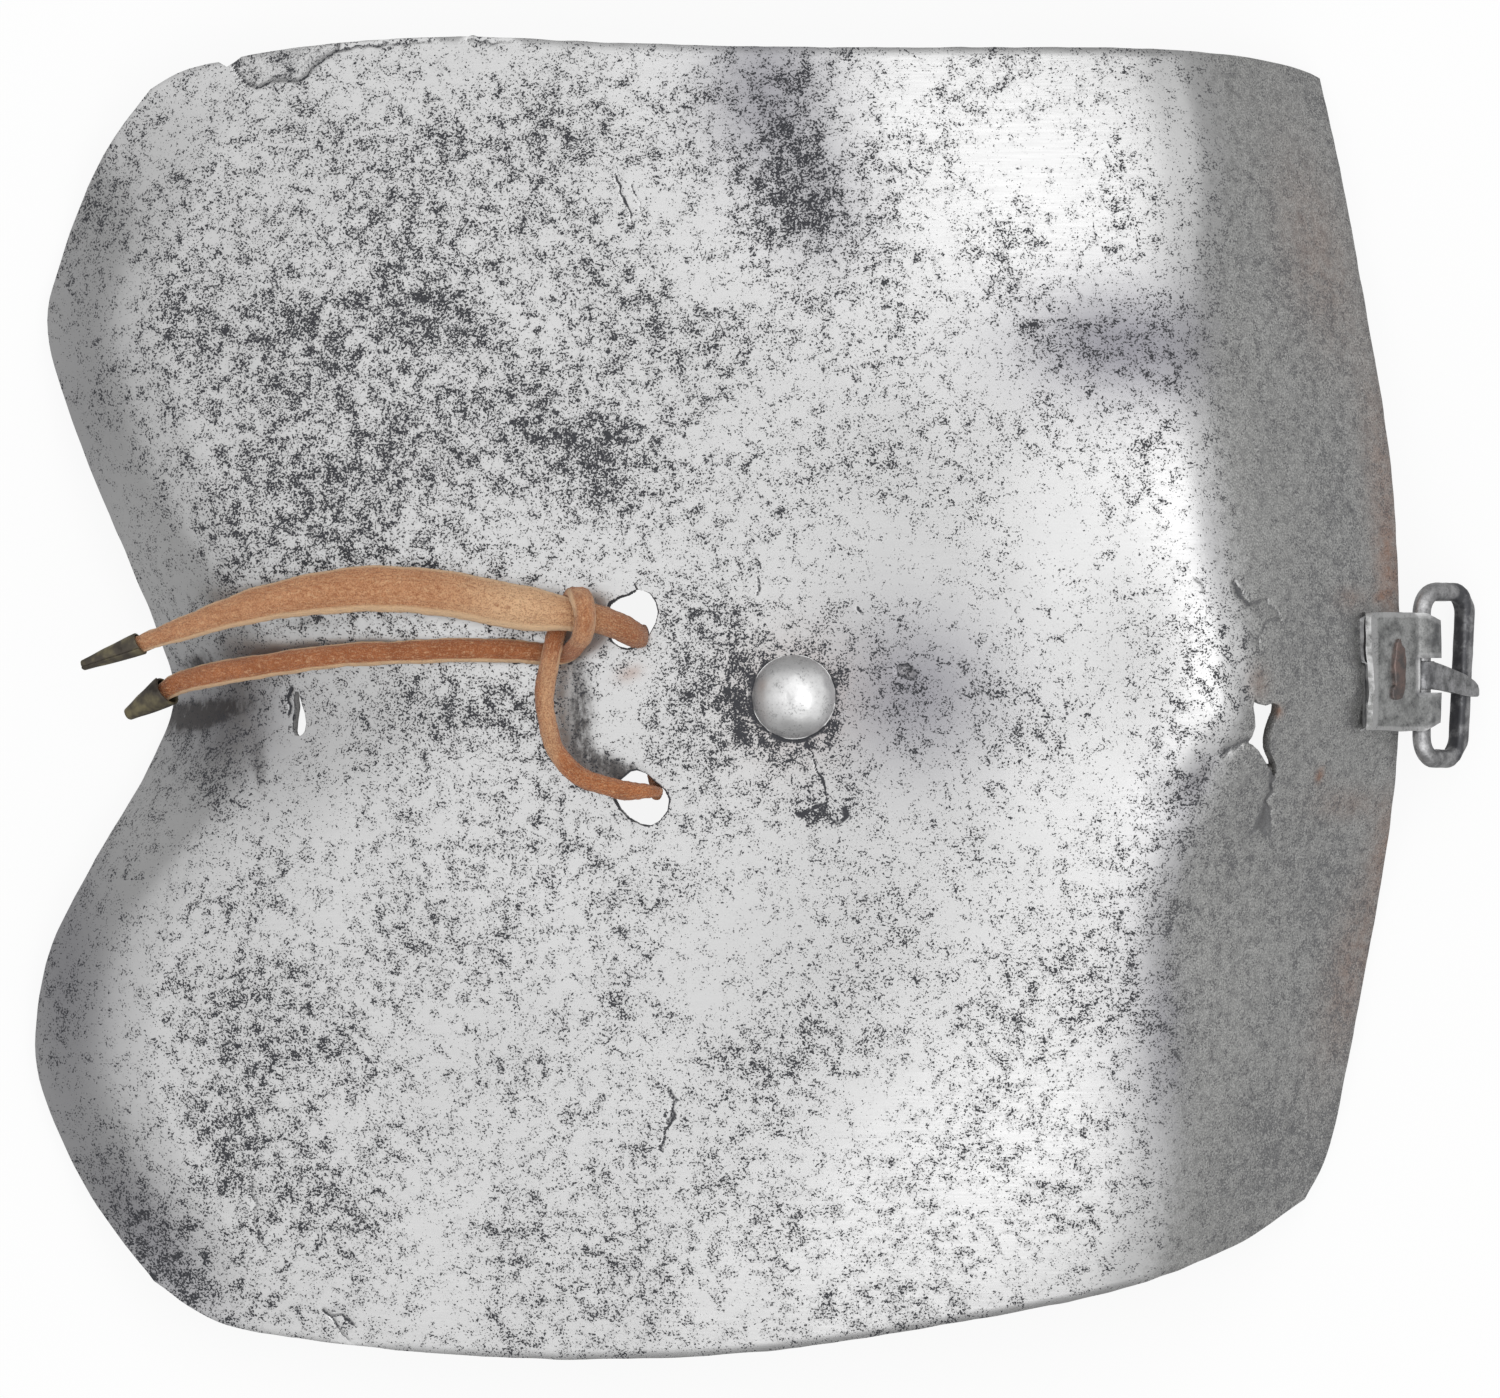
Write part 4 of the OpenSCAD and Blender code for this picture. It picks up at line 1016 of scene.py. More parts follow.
RIVET_AT = (4.9, 0.4)
HEAD_R, HEAD_H, SHANK_R = 5.75, 3.6, 2.5
SHEET_T, ROVE_R, ROVE_T = 1.4, 5.0, 1.0
ROVE_SINK = SHEET_T + ROVE_R**2 * 0.0045 + PLAY


def spun(profile, steps):
    """A closed shape turned about the Z axis from a profile of radius and height."""
    bm = bmesh.new()
    line = [bm.verts.new((r, 0, z)) for r, z in profile]
    edges = [bm.edges.new(pair) for pair in zip(line, line[1:])]
    bmesh.ops.spin(
        bm, geom=line + edges, cent=(0, 0, 0), axis=(0, 0, 1), angle=2 * math.pi, steps=steps,
        use_merge=True,
    )
    bmesh.ops.remove_doubles(bm, verts=bm.verts, dist=0.002)
    bmesh.ops.recalc_face_normals(bm, faces=bm.faces)
    return bm


def hammer(bm, flats):
    """Flattens a shape where each hammer blow fell, given as direction and distance."""
    for v in bm.verts:
        for way, reach in flats:
            past = v.co.dot(way) - reach
            if past > 0:
                v.co -= way * past


def make_dome_rivet(finish):
    """The domed head, its shank and the tail closed over the rove."""
    ball = (HEAD_R**2 + HEAD_H**2) / (2 * HEAD_H)
    reach = math.asin(HEAD_R / ball)
    steps = 26
    dome = [
        (ball * math.sin(reach * i / steps), ball * math.cos(reach * i / steps) - ball + HEAD_H + PLAY)
        for i in range(steps + 1)
    ]
    dome[-1] = (HEAD_R - 0.05, 0.3)
    low = -ROVE_SINK - ROVE_T
    profile = dome + [
        (HEAD_R - 0.12, 0.1), (HEAD_R - 0.4, PLAY), (4.4, PLAY), (SHANK_R, PLAY), (SHANK_R, -1.2),
        (SHANK_R, low - 0.05), (3.3, low - 0.1), (3.65, low - 0.4), (3.6, low - 0.8),
        (3.1, low - 1.15), (2.2, low - 1.4), (1.0, low - 1.45), (0, low - 1.45),
    ]
    bm = spun(profile, 72)
    flats = []
    for i in range(11):
        a = 2 * math.pi * (i + 0.3 * math.sin(i * 2.7)) / 11
        tilt = math.radians(62 + 8 * math.sin(i * 1.9))
        way = Vector((math.sin(tilt) * math.cos(a), math.sin(tilt) * math.sin(a), math.cos(tilt)))
        top = Vector((0, 0, HEAD_H - ball + PLAY)).dot(way) + ball
        flats.append((way, top - 0.05 - 0.03 * math.sin(i * 3.3)))
    heads = [v for v in bm.verts if v.co.z > 0.2]
    for v in heads:
        for way, d in flats:
            past = v.co.dot(way) - d
            if past > 0:
                v.co -= way * past
        x, y = v.co.x, v.co.y
        v.co.z -= 0.16 * hump(x, y, (0.5, -0.1, 0.32, 0.85, 8))
        v.co.z += 0.05 * waves(x, y, 2.2, 4.0) - 0.05 * hump(x, y, (-1.4, 0.9, 1.0, 0.8, 0))
    steel = forged_steel(
        "rivet_steel", finish.rivet, finish.rivet_shade, finish.pit_and_shade, 2.6, 0.36
    )
    return finish_piece(
        bm, "dome_rivet_head", steel, "plate", ["dome_rivet"],
        standing_on(*RIVET_AT), 50,
    )


def make_rove(finish):
    """The washer under the rivet's tail, cut a little out of round."""
    low = -ROVE_SINK - ROVE_T
    ring = [
        (SHANK_R + PLAY, low + 0.1), (SHANK_R + PLAY, -ROVE_SINK - 0.05),
        (SHANK_R + 0.2, -ROVE_SINK), (ROVE_R - 0.15, -ROVE_SINK), (ROVE_R, -ROVE_SINK - 0.15),
        (ROVE_R, low + 0.2), (ROVE_R - 0.2, low), (SHANK_R + 0.2, low), (SHANK_R + PLAY, low + 0.1),
    ]
    bm = spun(ring, 56)
    for v in bm.verts:
        if v.co.xy.length > 4:
            a = math.atan2(v.co.y, v.co.x)
            k = 1 - 0.02 * (1 + math.sin(3 * a + 1)) - 0.012 * (1 + math.sin(7 * a))
            v.co.x *= k
            v.co.y *= k
    steel = forged_steel(
        "rove_steel", finish.hollow, finish.pit_haze, finish.pit_and_shade, 1.8, 0.5
    )
    return finish_piece(
        bm, "rivet_rove_ring", steel, "plate", ["rivet_rove"],
        standing_on(*RIVET_AT), 40,
    )


CHAPE_W, CHAPE_L, SLOT_W, SLOT_END = 16, 9.5, 4.7, 0.3
CHAPE_RIVET_X, CHAPE_RIVET_Y, CHAPE_RIVET_R = -4.2, 4.0, 1.3


def folded_path(steps):
    """Middle line of the chape's strip, seen from the side, from one end to the other."""
    r = BAR_R + PLAY + LEAF / 2
    turn = math.radians(130)
    low = LEAF / 2
    lower = [(-CHAPE_L + (CHAPE_L - 1) * i / 12, low) for i in range(13)]
    lower += [(-0.3, low - 0.04), (SLOT_END, low - 0.15), (1.2, low - 0.48)]
    knuckle = [
        (BAR_OUT + r * math.cos(a), BAR_UP + r * math.sin(a))
        for a in (-turn + 2 * turn * i / steps for i in range(steps + 1))
    ]
    upper = [(x, 2 * BAR_UP - z) for x, z in reversed(lower)]
    return lower + knuckle + upper


def make_chape(finish):
    """One strip folded round the buckle's bar, slotted for the tongue."""
    path = folded_path(22)
    rows, cells = len(path) - 1, 36
    bm = bmesh.new()
    bmesh.ops.create_grid(bm, x_segments=rows, y_segments=cells, size=0.5)
    slot_low, slot_high = FRAME_Y - SLOT_W / 2, FRAME_Y + SLOT_W / 2
    shares = [0.0, 0.36, 0.64, 1.0]
    marks = [CHAPE_Y - CHAPE_W / 2, slot_low, slot_high, CHAPE_Y + CHAPE_W / 2]
    across = table(list(zip(shares, marks)))
    index = {}
    for v in bm.verts:
        i, share = round((v.co.x + 0.5) * rows), v.co.y + 0.5
        x, z = path[i]
        y = across(share)
        index[v] = (i, share)
        # The ends are cut by eye, and the sides bow out a little
        if i in (0, rows):
            x += 0.25 * math.sin(y * 0.55 + 0.6) + 0.07 * math.sin(y * 1.7) - 0.03 * (y - CHAPE_Y)
            x += 0.75 * (i == 0)
        # Its corners are worn round where it turns over the bar
        outside = 1 - min(share, 1 - share) / 0.36
        if outside > 0:
            y += math.copysign(1.1, 0.5 - share) * outside * ease((x - 1.5) / 2.6)
        y += 0.14 * waves(x, z, 3.0, 1.0 + round(share)) * (abs(share - 0.5) > 0.45)
        v.co = (x, y, z)
    gone = [
        f for f in bm.faces
        if slot_low + 0.01 < f.calc_center_median().y < slot_high - 0.01
        and f.calc_center_median().x > SLOT_END
    ]
    bmesh.ops.delete(bm, geom=gone, context="FACES")
    bm.normal_update()
    bmesh.ops.solidify(bm, geom=bm.faces[:], thickness=LEAF)
    bm.normal_update()
    centre = sum((v.co.z for v in bm.verts)) / len(bm.verts)
    for v in bm.verts:
        v.co.z += BAR_UP - centre
    bmesh.ops.recalc_face_normals(bm, faces=bm.faces)
    round_edges(bm, 0.34, 3)
    for v in bm.verts:
        x, y, z = v.co
        if z > BAR_UP + 0.3:
            v.co.z += 0.06 * waves(x, y, 2.4, 6.0) - 0.16 * ease((-CHAPE_L + 1.6 - x) / 1.6)
            v.co.z -= 0.3 * ((y - CHAPE_Y) / 8) ** 4
            v.co.z += 0.45 * ease((x + 5.5) / 5.0) * ease((2.6 - x) / 2.0)
    # Painted shade on the knuckle round the bar, along the slot's edges and on the lower leaf under the upper one
    shade_and_grime = bm.verts.layers.float.new("shade_and_grime")
    for v in bm.verts:
        x, y, z = v.co
        by_slot = min(abs(y - slot_low), abs(y - slot_high)) if x > SLOT_END - 0.8 else 9
        v[shade_and_grime] = max(0.62 * ease((x - 0.4) / 2.4), 0.8 * ease((0.7 - by_slot) / 0.5))
        v[shade_and_grime] = max(v[shade_and_grime], 0.7 * ease((BAR_UP - z) / 0.4))
    steel = forged_steel(
        "chape_steel", finish.fitting, finish.fitting_shade, finish.pit_and_shade, 2.2, 0.28
    )
    return finish_piece(
        bm, "chape_leaves", steel, "plate", ["buckle_chape"], AT_RIM, 45
    )


def make_chape_rivet(finish):
    """A rivet beaten into a long ragged head over the chape, with a round tail inside."""
    outline = [
        (0.25, 4.4), (0.55, 3.5), (1.35, 3.0), (1.55, 1.6), (1.45, 0.0), (1.5, -1.4),
        (1.2, -2.7), (0.6, -3.9), (-0.5, -4.1), (-1.35, -4.0), (-1.6, -3.2), (-1.5, -2.4),
        (-0.9, -2.0), (-1.05, -0.8), (-1.2, 0.6), (-1.0, 1.9), (-0.75, 2.9), (-0.55, 3.6),
        (-0.1, 4.3),
    ]
    top = 2 * BAR_UP + PLAY
    bm = bmesh.new()
    ring = [bm.verts.new((x * 0.96, y * 0.98, top - 0.15)) for x, y in outline]
    face = bm.faces.new(ring)
    raised = bmesh.ops.extrude_face_region(bm, geom=[face])
    tops = [g for g in raised["geom"] if isinstance(g, bmesh.types.BMVert)]
    bmesh.ops.translate(bm, vec=(0, 0, 1.0), verts=tops)
    round_edges(bm, 0.32, 4, 40)
    bmesh.ops.triangulate(bm, faces=[f for f in bm.faces if len(f.verts) > 4])
    bmesh.ops.subdivide_edges(
        bm, edges=[e for e in bm.edges if e.calc_length() > 0.9], cuts=1, use_grid_fill=True
    )
    for v in bm.verts:
        if v.co.z > top + 0.3:
            v.co.z += 0.16 * waves(v.co.x, v.co.y, 1.5, 2.0)
    low = -SEAT - SHEET_T - 4 * PLAY
    made = bmesh.ops.create_cone(
        bm, cap_ends=True, segments=28, radius1=CHAPE_RIVET_R, radius2=CHAPE_RIVET_R,
        depth=top - low,
        matrix=Matrix.Translation((0, 0, (top + low) / 2)),
    )
    made = bmesh.ops.create_cone(
        bm, cap_ends=True, segments=28, radius1=1.6, radius2=2.25, depth=0.9,
        matrix=Matrix.Translation((0, 0, low - 0.45)),
    )
    bmesh.ops.translate(bm, vec=(CHAPE_RIVET_X, CHAPE_RIVET_Y, 0), verts=bm.verts)
    steel = forged_steel(
        "chape_rivet_iron", finish.rivet_iron, finish.fitting_shade, finish.pit_and_shade, 1.6, 0.45
    )
    return finish_piece(
        bm, "chape_rivet_head", steel, "plate", ["chape_rivet"], AT_RIM, 50
    )


FRAME_W, CORNER_R = 25, 3


def make_frame(finish):
    """The buckle's frame, one bar bent to a long loop and beaten flatter on its outer side."""
    bar = 2 * BAR_R
    half_w = (FRAME_W - bar) / 2
    straight_y, straight_x = 2 * (half_w - CORNER_R), BAR_GAP - 2 * CORNER_R
    bm = bmesh.new()
    ring = bmesh.ops.create_circle(bm, cap_ends=False, segments=24, radius=BAR_R)["verts"]
    bmesh.ops.rotate(bm, verts=ring, matrix=Matrix.Rotation(math.pi / 2, 3, "X"), cent=(0, 0, 0))
    bmesh.ops.translate(bm, vec=(0, -straight_y / 2, 0), verts=ring)
    edges = bm.edges[:]
    at = Vector((0, -straight_y / 2, 0))
    way = Vector((0, 1, 0))
    for i in range(4):
        run, parts = (straight_y, 18) if i % 2 == 0 else (straight_x, 5)
        for _ in range(parts):
            made = bmesh.ops.extrude_edge_only(bm, edges=edges)["geom"]
            edges = [g for g in made if isinstance(g, bmesh.types.BMEdge)]
            verts = [g for g in made if isinstance(g, bmesh.types.BMVert)]
            bmesh.ops.translate(bm, vec=way * (run / parts), verts=verts)
        at = at + way * run
        right = Vector((way.y, -way.x, 0))
        spun_end = bmesh.ops.spin(
            bm, geom=verts + edges, cent=at + right * CORNER_R, axis=(0, 0, -1),
            angle=math.pi / 2, steps=10, use_merge=False,
        )["geom_last"]
        verts = [g for g in spun_end if isinstance(g, bmesh.types.BMVert)]
        edges = [g for g in spun_end if isinstance(g, bmesh.types.BMEdge)]
        at = at + (way + right) * CORNER_R
        way = right
    bmesh.ops.remove_doubles(bm, verts=bm.verts, dist=0.01)
    for v in bm.verts:
        x, y, z = v.co
        outer = ease((x - 5.5) / 3.0)
        # The outer bar is nearly square in section
        if outer > 0:
            dx = x - BAR_GAP
            if abs(dx) < 1.6:
                k = 1.0 / max(abs(dx), abs(z), 0.2) * math.hypot(dx, z)
                k = (1 + (min(k, 1.25) - 1) * 0.85 * outer) * (1 - 0.08 * outer)
                v.co.x = BAR_GAP - 0.15 * outer + dx * k
                v.co.z = z * k
        v.co.x += 0.085 * y * ease(x / BAR_GAP)
        v.co += v.co.normalized() * 0.09 * noise.noise(v.co * 0.7) if x > 2.5 else Vector((0, 0, 0))
    bmesh.ops.recalc_face_normals(bm, faces=bm.faces)
    # Painted shade over the outer bar and the side bars' inner faces, darkest on the outer bar's inner side
    shade_and_grime = bm.verts.layers.float.new("shade_and_grime")
    for v in bm.verts:
        x, y, z = v.co
        inner_shade = max(
            1.2 * ease((BAR_GAP + 0.084 * y + 0.1 - x) / 0.8) * ease((x - 6.0) / 1.5),
            0.45 * ease((half_w - 0.3 - abs(y)) / 0.8) * ease((x - 1.5) / 1.5),
        )
        v[shade_and_grime] = inner_shade
    steel = forged_steel(
        "buckle_steel", finish.frame, finish.frame_shade, finish.pit_and_shade, 2.0, 0.36
    )
    return finish_piece(
        bm, "buckle_loop", steel, "frame", ["buckle_frame"], AT_BAR, 50
    )


TONGUE_T, TONGUE_LEAN = 0.9, -2.3
tongue_half = table([(0, 1.9), (2, 1.75), (5, 1.6), (8, 1.45), (10, 1.1), (11.4, 0.75), (12.1, 0.4)])


def make_tongue(finish):
    """A strip curled round the inner bar, drawn out to a point over the outer one."""
    r = BAR_R + PLAY + TONGUE_T / 2
    tip = BAR_GAP + BAR_R + 1.3
    curl = [
        (r * math.cos(a), r * math.sin(a))
        for a in (math.radians(62 - 332 * i / 34) for i in range(35))
    ]
    prong = [(0.9, r + 0.02), (2.2, r + 0.03), (3.6, r - 0.02), (5.0, r - 0.08), (6.4, r - 0.08),
             (7.8, r - 0.03), (9.0, r + 0.02), (10.2, r - 0.05), (11.2, r - 0.3), (tip, r - 0.72)]
    path = curl + prong
    rows = len(path) - 1
    bm = bmesh.new()
    bmesh.ops.create_grid(bm, x_segments=rows, y_segments=8, size=0.5)
    for v in bm.verts:
        i = round((v.co.x + 0.5) * rows)
        x, z = path[i]
        flat = i >= len(curl)
        half = tongue_half(x) if flat else tongue_half(0)
        y = 2 * v.co.y * half + TONGUE_LEAN * flat * (max(x, 0) / tip) ** 1.3
        v.co = (x, y, z)
    bm.normal_update()
    bmesh.ops.solidify(bm, geom=bm.faces[:], thickness=TONGUE_T)
    bmesh.ops.recalc_face_normals(bm, faces=bm.faces)
    round_edges(bm, 0.18, 3)
    # Painted shade on the tongue's curl round the bar
    shade_and_grime = bm.verts.layers.float.new("shade_and_grime")
    for v in bm.verts:
        v[shade_and_grime] = 0.6 * ease((2.4 - v.co.x) / 2.2)
    steel = forged_steel(
        "tongue_steel", finish.tongue, finish.fitting_shade, finish.pit_and_shade, 1.6, 0.3
    )
    return finish_piece(
        bm, "tongue_strip", steel, "tongue", ["buckle_tongue"], AT_BAR, 50
    )


# The studio


def add_panel(name, level, across, up):
    """A soft panel lamp overhead that fills the sky between two tilts across and two up."""
    reach = 1.2
    mid_a, mid_e = (math.radians(sum(pair) / 2) for pair in (across, up))
    size = [2 * reach * math.tan(math.radians((b - a) / 2)) for a, b in (across, up)]
    lamp = bpy.data.lights.new(name, "AREA")
    lamp.shape = "RECTANGLE"
    lamp.size, lamp.size_y = size
    lamp.energy = level * math.pi * size[0] * size[1]
    holder = bpy.data.objects.new(name, lamp)
    bpy.context.scene.collection.objects.link(holder)
    way = Vector((
        math.sin(mid_a) * math.cos(mid_e), math.sin(mid_e), math.cos(mid_a) * math.cos(mid_e)
    ))
    right = Vector((math.cos(mid_a), 0, -math.sin(mid_a)))
    holder.location = way * reach
    holder.rotation_mode = "QUATERNION"
    holder.rotation_quaternion = Matrix((right, way.cross(right), way)).transposed().to_quaternion()


def make_stage(studio):
    """White floor, soft panels on both sides and the camera straight above."""
    scene = bpy.context.scene
    scene.view_settings.view_transform = "Standard"
    lens = bpy.data.cameras.new("view_from_above")
    lens.sensor_width = 36
    lens.lens = lens.sensor_width * (studio.camera_height - 0.008) / studio.view_width
    lens.clip_end = 20
    camera = bpy.data.objects.new("view_from_above", lens)
    camera.location = (-0.001, 0.0001, studio.camera_height)
    scene.collection.objects.link(camera)
    scene.camera = camera

    bm = bmesh.new()
    bmesh.ops.create_grid(bm, x_segments=1, y_segments=1, size=4)
    bmesh.ops.translate(bm, vec=(0, 0, -0.0002), verts=bm.verts)
    mesh = bpy.data.meshes.new("white_floor")
    bm.to_mesh(mesh)
    bm.free()
    floor = bpy.data.objects.new("white_floor", mesh)
    scene.collection.objects.link(floor)
    material, tree, end, _ = new_material("white_paper")
    light = add_node(tree, "ShaderNodeLightPath").outputs
    seen = math_node(tree, "MAXIMUM", light["Is Camera Ray"], light["Is Transmission Ray"])
    # In the metal's reflections the paper is dim, as dark cloths on both sides would make it
    glossy = math_node(tree, "MULTIPLY", light["Is Glossy Ray"], studio.floor_in_metal)
    level = math_node(tree, "MAXIMUM", seen, glossy)
    seen = math_node(tree, "MAXIMUM", seen, light["Is Glossy Ray"])
    paper = add_node(tree, "ShaderNodeBsdfDiffuse", inputs={"Color": (*studio.floor, 1)})
    glow = add_node(tree, "ShaderNodeEmission", inputs={"Color": (1, 1, 1, 1), "Strength": level})
    keep = math_node(tree, "MULTIPLY", seen, 0.9)
    both = add_node(
        tree, "ShaderNodeMixShader", inputs={0: keep, 1: paper.outputs[0], 2: glow.outputs[0]}
    )
    tree.links.new(both.outputs[0], end.inputs["Surface"])
    mesh.materials.append(material)

    world = bpy.data.worlds.new("studio")
    scene.world = world
    world.use_nodes = True
    air = world.node_tree
    air.nodes.clear()
    sight = add_node(air, "ShaderNodeLightPath").outputs["Is Camera Ray"]
    dim = add_node(air, "ShaderNodeBackground", inputs={"Color": (*studio.air, 1), "Strength": 1.0})
    white = add_node(air, "ShaderNodeBackground", inputs={"Color": (1, 1, 1, 1), "Strength": 1.0})
    shown = add_node(
        air, "ShaderNodeMixShader", inputs={0: sight, 1: dim.outputs[0], 2: white.outputs[0]}
    )
    out = add_node(air, "ShaderNodeOutputWorld")
    air.links.new(shown.outputs[0], out.inputs["Surface"])
    add_panel("left_panel", studio.left_level, (-42, -6), (-50, 50))
    add_panel("far_left_panel", studio.far_level, (-80, -42), (-50, 50))
    add_panel("right_panel", studio.right_level, (-2, 34), (-52, 52))
    add_panel("far_right_panel", studio.low_level, (34, 80), (-52, 52))
    add_panel("upper_strip", studio.strip_level, (-8, 14), (27, 60))
    add_panel("middle_strip", 1.1 * studio.strip_level, (8, 34), (-20, 22))
    add_panel("lower_strip", studio.strip_level, (-3, 16), (-54, -30))


# Settings, operators and panel


class SheetSizes(bpy.types.PropertyGroup):
    """Sizes of the raised plate"""

    thickness: FloatProperty(
        name="Thickness", description="Thickness of the sheet", default=0.0014,
        min=0.0008, max=0.003, subtype="DISTANCE", unit="LENGTH",
    )
    hammer_waves: FloatProperty(
        name="Hammer waves", description="Height of the waves that planishing left",
        default=0.00016, min=0, max=0.001, subtype="DISTANCE", unit="LENGTH",
    )
    rim_wear: FloatProperty(
        name="Rim wear", description="How far the rim's corners are worn round",
        default=0.00024, min=0, max=0.0006, subtype="DISTANCE", unit="LENGTH",
    )
    cells_across: IntProperty(
        name="Cells across", description="Grid cells from the wing to the buckle",
        default=154, min=20, max=300,
    )
    cells_along: IntProperty(
        name="Cells along", description="Grid cells along the arm", default=144, min=20, max=300,
    )


def tint(name, description, code):
    """A colour property with its sRGB default."""
    return FloatVectorProperty(
        name=name, description=description, subtype="COLOR", size=3, min=0, max=1,
        default=colour(code),
    )


class Finishes(bpy.types.PropertyGroup):
    """Colours of the metal and leather"""

    steel: tint("Steel", "Polished face of the sheet", "#dbdbdb")
    steel_shade: tint("Steel shade", "Less polished bands of the sheet", "#c8c8c8")
    pit_haze: tint("Pit haze", "Dull ground between crowded pits", "#9a9a9c")
    # Colour of the painted shadow under the lace and of the painted shade at the notch and the tear
    painted_shadow: tint("Painted shadow", "Blackened places", "#2e2826")
    # Bottom of the rust pits on the sheet, and the colour of dirt and painted shade on the fittings
    pit_and_shade: tint("Pits", "Bottom of the rust pits", "#393a3f")
    # Colour of the tarnish and of the painted dark reflections and shade
    tarnish_and_shade: tint("Tarnish and shade", "Grey-lilac tarnished patches", "#8b8a91")
    turned: tint("Turned side", "Dull steel beyond the fold", "#d6d6d4")
    turned_shade: tint("Turned side shade", "Sandy grains beyond the fold", "#a6a6a5")
    turned_dark: tint("Turned side mottle", "Dark mottling beyond the fold", "#6f6e72")
    rust: tint("Rust", "Thin brown rust", "#9a6848")
    hollow: tint("Hollow side", "Unpolished inner face", "#6c6864")
    rivet: tint("Rivet", "Polished head of the dome rivet", "#ececec")
    rivet_shade: tint("Rivet shade", "Duller places of the rivet", "#d2d2d2")
    fitting: tint("Fittings", "Bright places of the buckle", "#cbcccb")
    fitting_shade: tint("Fitting shade", "Dull places of the buckle", "#656666")
    frame: tint("Frame", "Bright places of the buckle's frame", "#cacacb")
    frame_shade: tint("Frame shade", "Dull places of the buckle's frame", "#6a6a6c")
    rivet_iron: tint("Chape rivet", "Rusty head of the chape's rivet", "#93807a")
    tongue: tint("Tongue", "Bright places of the tongue", "#c2c2c4")
    wide_lace: tint("Wide lace", "Face of the wide end", "#cb936a")
    wide_lace_shade: tint("Wide lace shade", "Darker blotches of the wide end", "#b87e55")
    narrow_lace: tint("Narrow lace", "Face of the narrow end", "#bd7648")
    narrow_lace_shade: tint("Narrow lace shade", "Darker blotches of the narrow end", "#96562f")
    lace_edge: tint("Cut edge", "Pale cut edges of the lace", "#ecc69c")
    lace_red: tint("Handled leather", "Reddened places of the lace", "#8f4f2c")


class StudioSettings(bpy.types.PropertyGroup):
    """Camera, floor and light levels"""

    camera_height: FloatProperty(
        name="Camera height", description="Height of the camera above the floor", default=8.0,
        min=1, max=10, subtype="DISTANCE", unit="LENGTH",
    )
    view_width: FloatProperty(
        name="View width", description="Width that the view covers at the rim", default=0.2025,
        min=0.1, max=1, subtype="DISTANCE", unit="LENGTH",
    )
    right_level: FloatProperty(
        name="Right level", description="Brightness of the right panel", default=0.82, min=0, max=5
    )
    low_level: FloatProperty(
        name="Low level", description="Brightness of the low panel on the right", default=0.65,
        min=0, max=5,
    )
    far_level: FloatProperty(
        name="Far level", description="Brightness of the low panel on the left", default=0.5,
        min=0, max=5,
    )
    left_level: FloatProperty(
        name="Left level", description="Brightness of the left panel", default=0.84, min=0, max=5
    )
    strip_level: FloatProperty(
        name="Strip level", description="Brightness that the three strips add on the right",
        default=0.8, min=0, max=5,
    )
    floor_in_metal: FloatProperty(
        name="Floor in metal", description="Brightness of the floor in reflections", default=0.42,
        min=0, max=1,
    )
    floor: tint("Floor", "Colour of the paper floor", "#f2f2f2")
    air: tint("Air", "Dim light from the rest of the room", "#8c8c8c")


class COUTER_OT_stage(bpy.types.Operator):
    """Sets up the camera, the floor and the soft panels"""

    bl_idname = "couter.stage"
    bl_label = "Stage"

    def execute(self, context):
        make_stage(context.scene.couter_studio)
        return {"FINISHED"}


class COUTER_OT_lace(bpy.types.Operator):
    """Lays the lace through its holes, ties its half hitch and puts on both tags"""

    bl_idname = "couter.lace"
    bl_label = "Lace and tags"

    def execute(self, context):
        finish = context.scene.couter_finishes
        tan = lace_leather(
            "tan_leather", finish.wide_lace, finish.wide_lace_shade, finish.lace_edge,
            finish.lace_red,
        )
        brown = lace_leather(
            "red_leather", finish.narrow_lace, finish.narrow_lace_shade, finish.lace_edge,
            finish.lace_red,
        )
        wide, wide_line, wide_long = make_strip(
            "lace_wide", BRIDGE_ROUTE + WIDE_ROUTE, 16, tan,
            ["lace_wide_end", "lace_bridge"],
            lambda p: (0.75 * ease((p.x + 24) / 6), 0.9 * hump(p.x, p.y, (-32, 12, 8, 9, 0))),
        )
        narrow, narrow_line, narrow_long = make_strip(
            "lace_narrow", NARROW_ROUTE, 16, brown, ["lace_narrow_end"],
            lambda p: (
                0.5 * hump(p.x, p.y, (-42, 7, 22, 9, 0)),
                0.5 * ease((-26 - p.x) / 1.5) * ease((p.x + 30) / 1.5) * ease((8 - p.y) / 4)
                + 0.35 * ease((42.7 - p.z + 2) / 2) * ease((p.z - 40.6) / 1.0),
            ),
        )
        upper = make_aglet(
            "tag_upper", (-83.2, 7.6, 18.0), (-91, 4.7, 13.5), 3.5, 1.7, ["aglet_upper"], 0.4
        )
        lower = make_aglet(
            "tag_lower", (-79.6, 1.2, 14.0), (-84.9, -2, 10.2), 4.7, 1.9, ["aglet_lower"], 2.2
        )
        return {"FINISHED"}


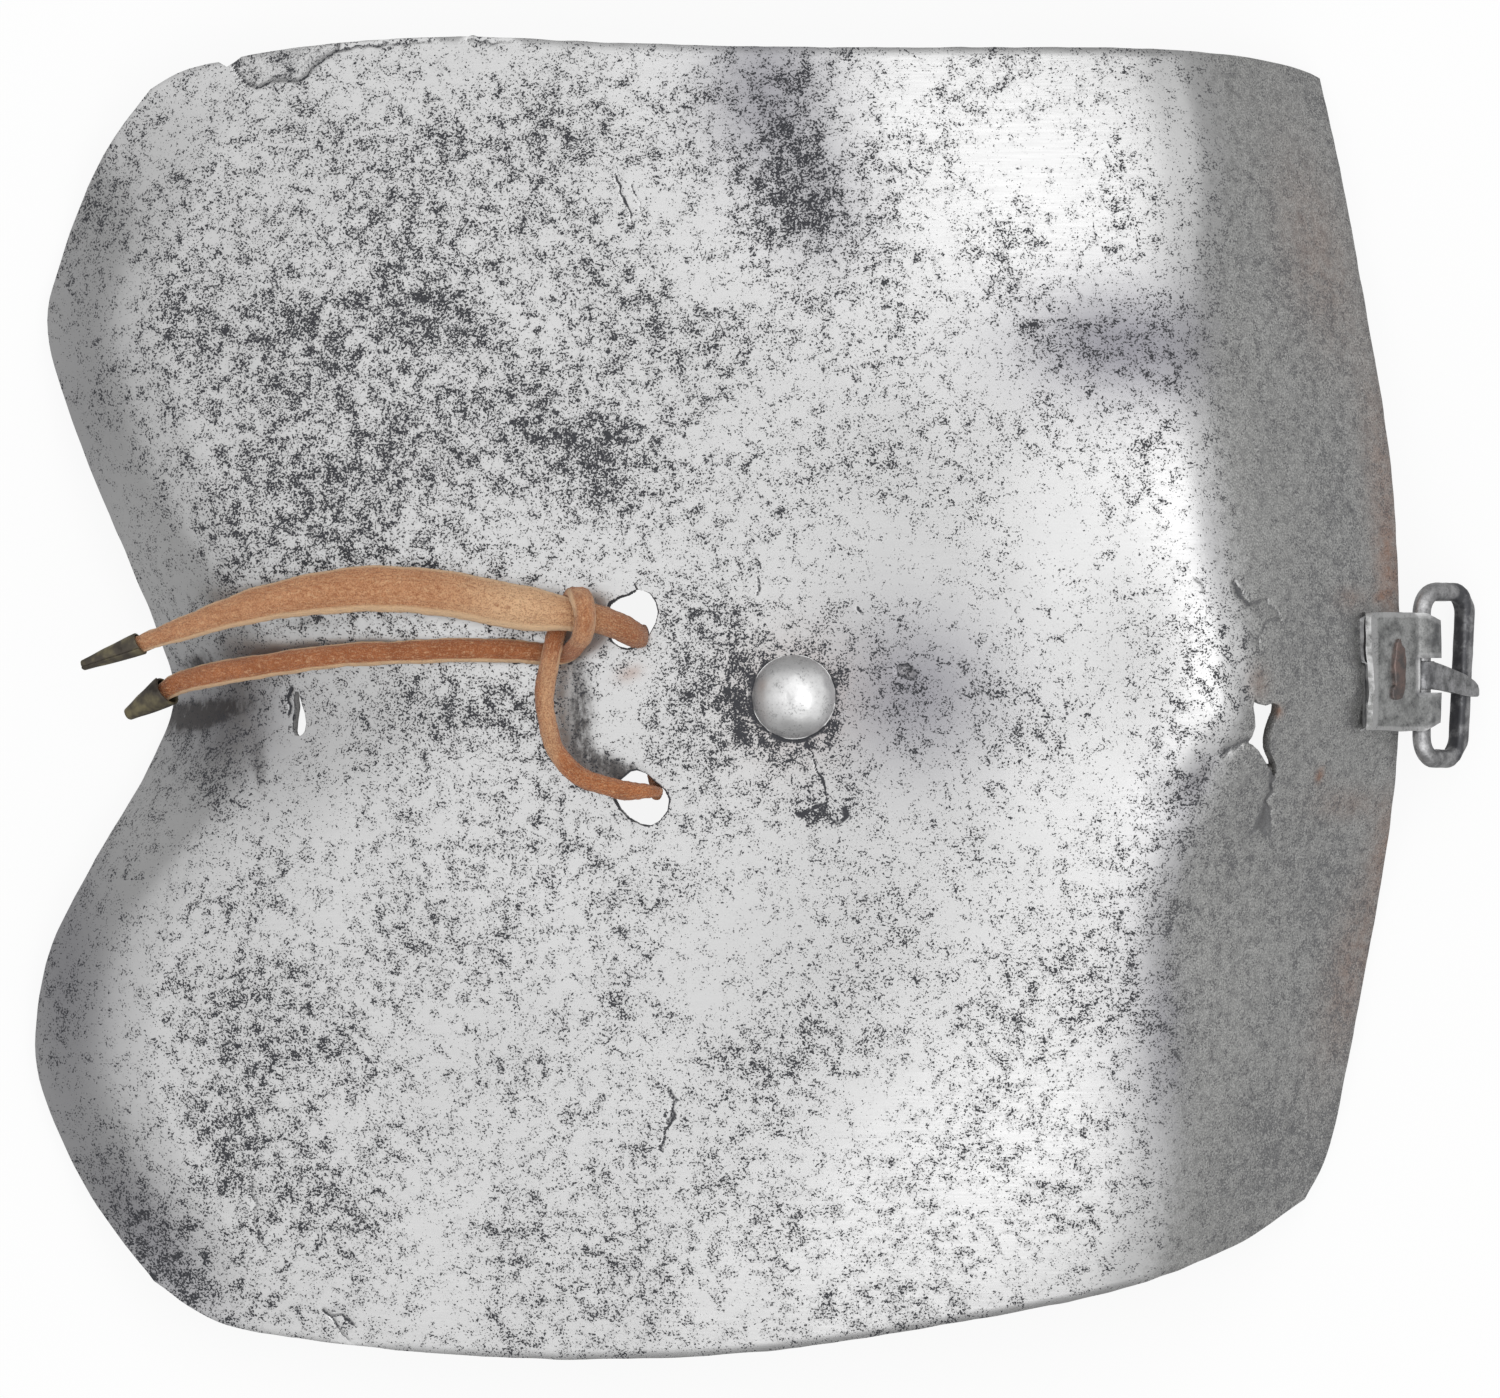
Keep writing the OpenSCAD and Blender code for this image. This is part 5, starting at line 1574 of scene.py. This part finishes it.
class COUTER_OT_sheet(bpy.types.Operator):
    """Raises the plate from a flat grid, opens its holes and wears it"""

    bl_idname = "couter.sheet"
    bl_label = "Plate"

    def execute(self, context):
        make_sheet(context.scene.couter_sheet, context.scene.couter_finishes)
        return {"FINISHED"}


class COUTER_OT_rivets(bpy.types.Operator):
    """Sets the dome rivet with its rove and the chape's rivet"""

    bl_idname = "couter.rivets"
    bl_label = "Rivets"

    def execute(self, context):
        finish = context.scene.couter_finishes
        make_dome_rivet(finish)
        make_rove(finish)
        make_chape_rivet(finish)
        return {"FINISHED"}


class COUTER_OT_buckle(bpy.types.Operator):
    """Folds the chape, bends the frame and curls the tongue"""

    bl_idname = "couter.buckle"
    bl_label = "Buckle"

    def execute(self, context):
        finish = context.scene.couter_finishes
        make_chape(finish)
        make_frame(finish)
        make_tongue(finish)
        return {"FINISHED"}


class COUTER_PT_pieces(bpy.types.Panel):
    """Lists the steps that dress the elbow plate"""

    bl_idname = "COUTER_PT_pieces"
    bl_label = "Elbow Plate"
    bl_space_type = "VIEW_3D"
    bl_region_type = "UI"
    bl_category = "Elbow Plate"

    def draw(self, context):
        for step in STEPS:
            self.layout.operator(step.bl_idname)
        sheet = context.scene.couter_sheet
        for name in ("thickness", "hammer_waves", "rim_wear"):
            self.layout.prop(sheet, name)


GROUPS = {
    "couter_sheet": SheetSizes,
    "couter_finishes": Finishes,
    "couter_studio": StudioSettings,
}
STEPS = (COUTER_OT_stage, COUTER_OT_lace, COUTER_OT_sheet, COUTER_OT_rivets, COUTER_OT_buckle)


def register():
    for kind in (*GROUPS.values(), *STEPS, COUTER_PT_pieces):
        bpy.utils.register_class(kind)
    for name, kind in GROUPS.items():
        setattr(bpy.types.Scene, name, PointerProperty(type=kind))


def unregister():
    for name in GROUPS:
        delattr(bpy.types.Scene, name)
    for kind in reversed((*GROUPS.values(), *STEPS, COUTER_PT_pieces)):
        bpy.utils.unregister_class(kind)


def main():
    register()
    bpy.ops.couter.stage()
    bpy.ops.couter.lace()
    bpy.ops.couter.sheet()
    bpy.ops.couter.rivets()
    bpy.ops.couter.buckle()


if __name__ == "__main__":
    main()
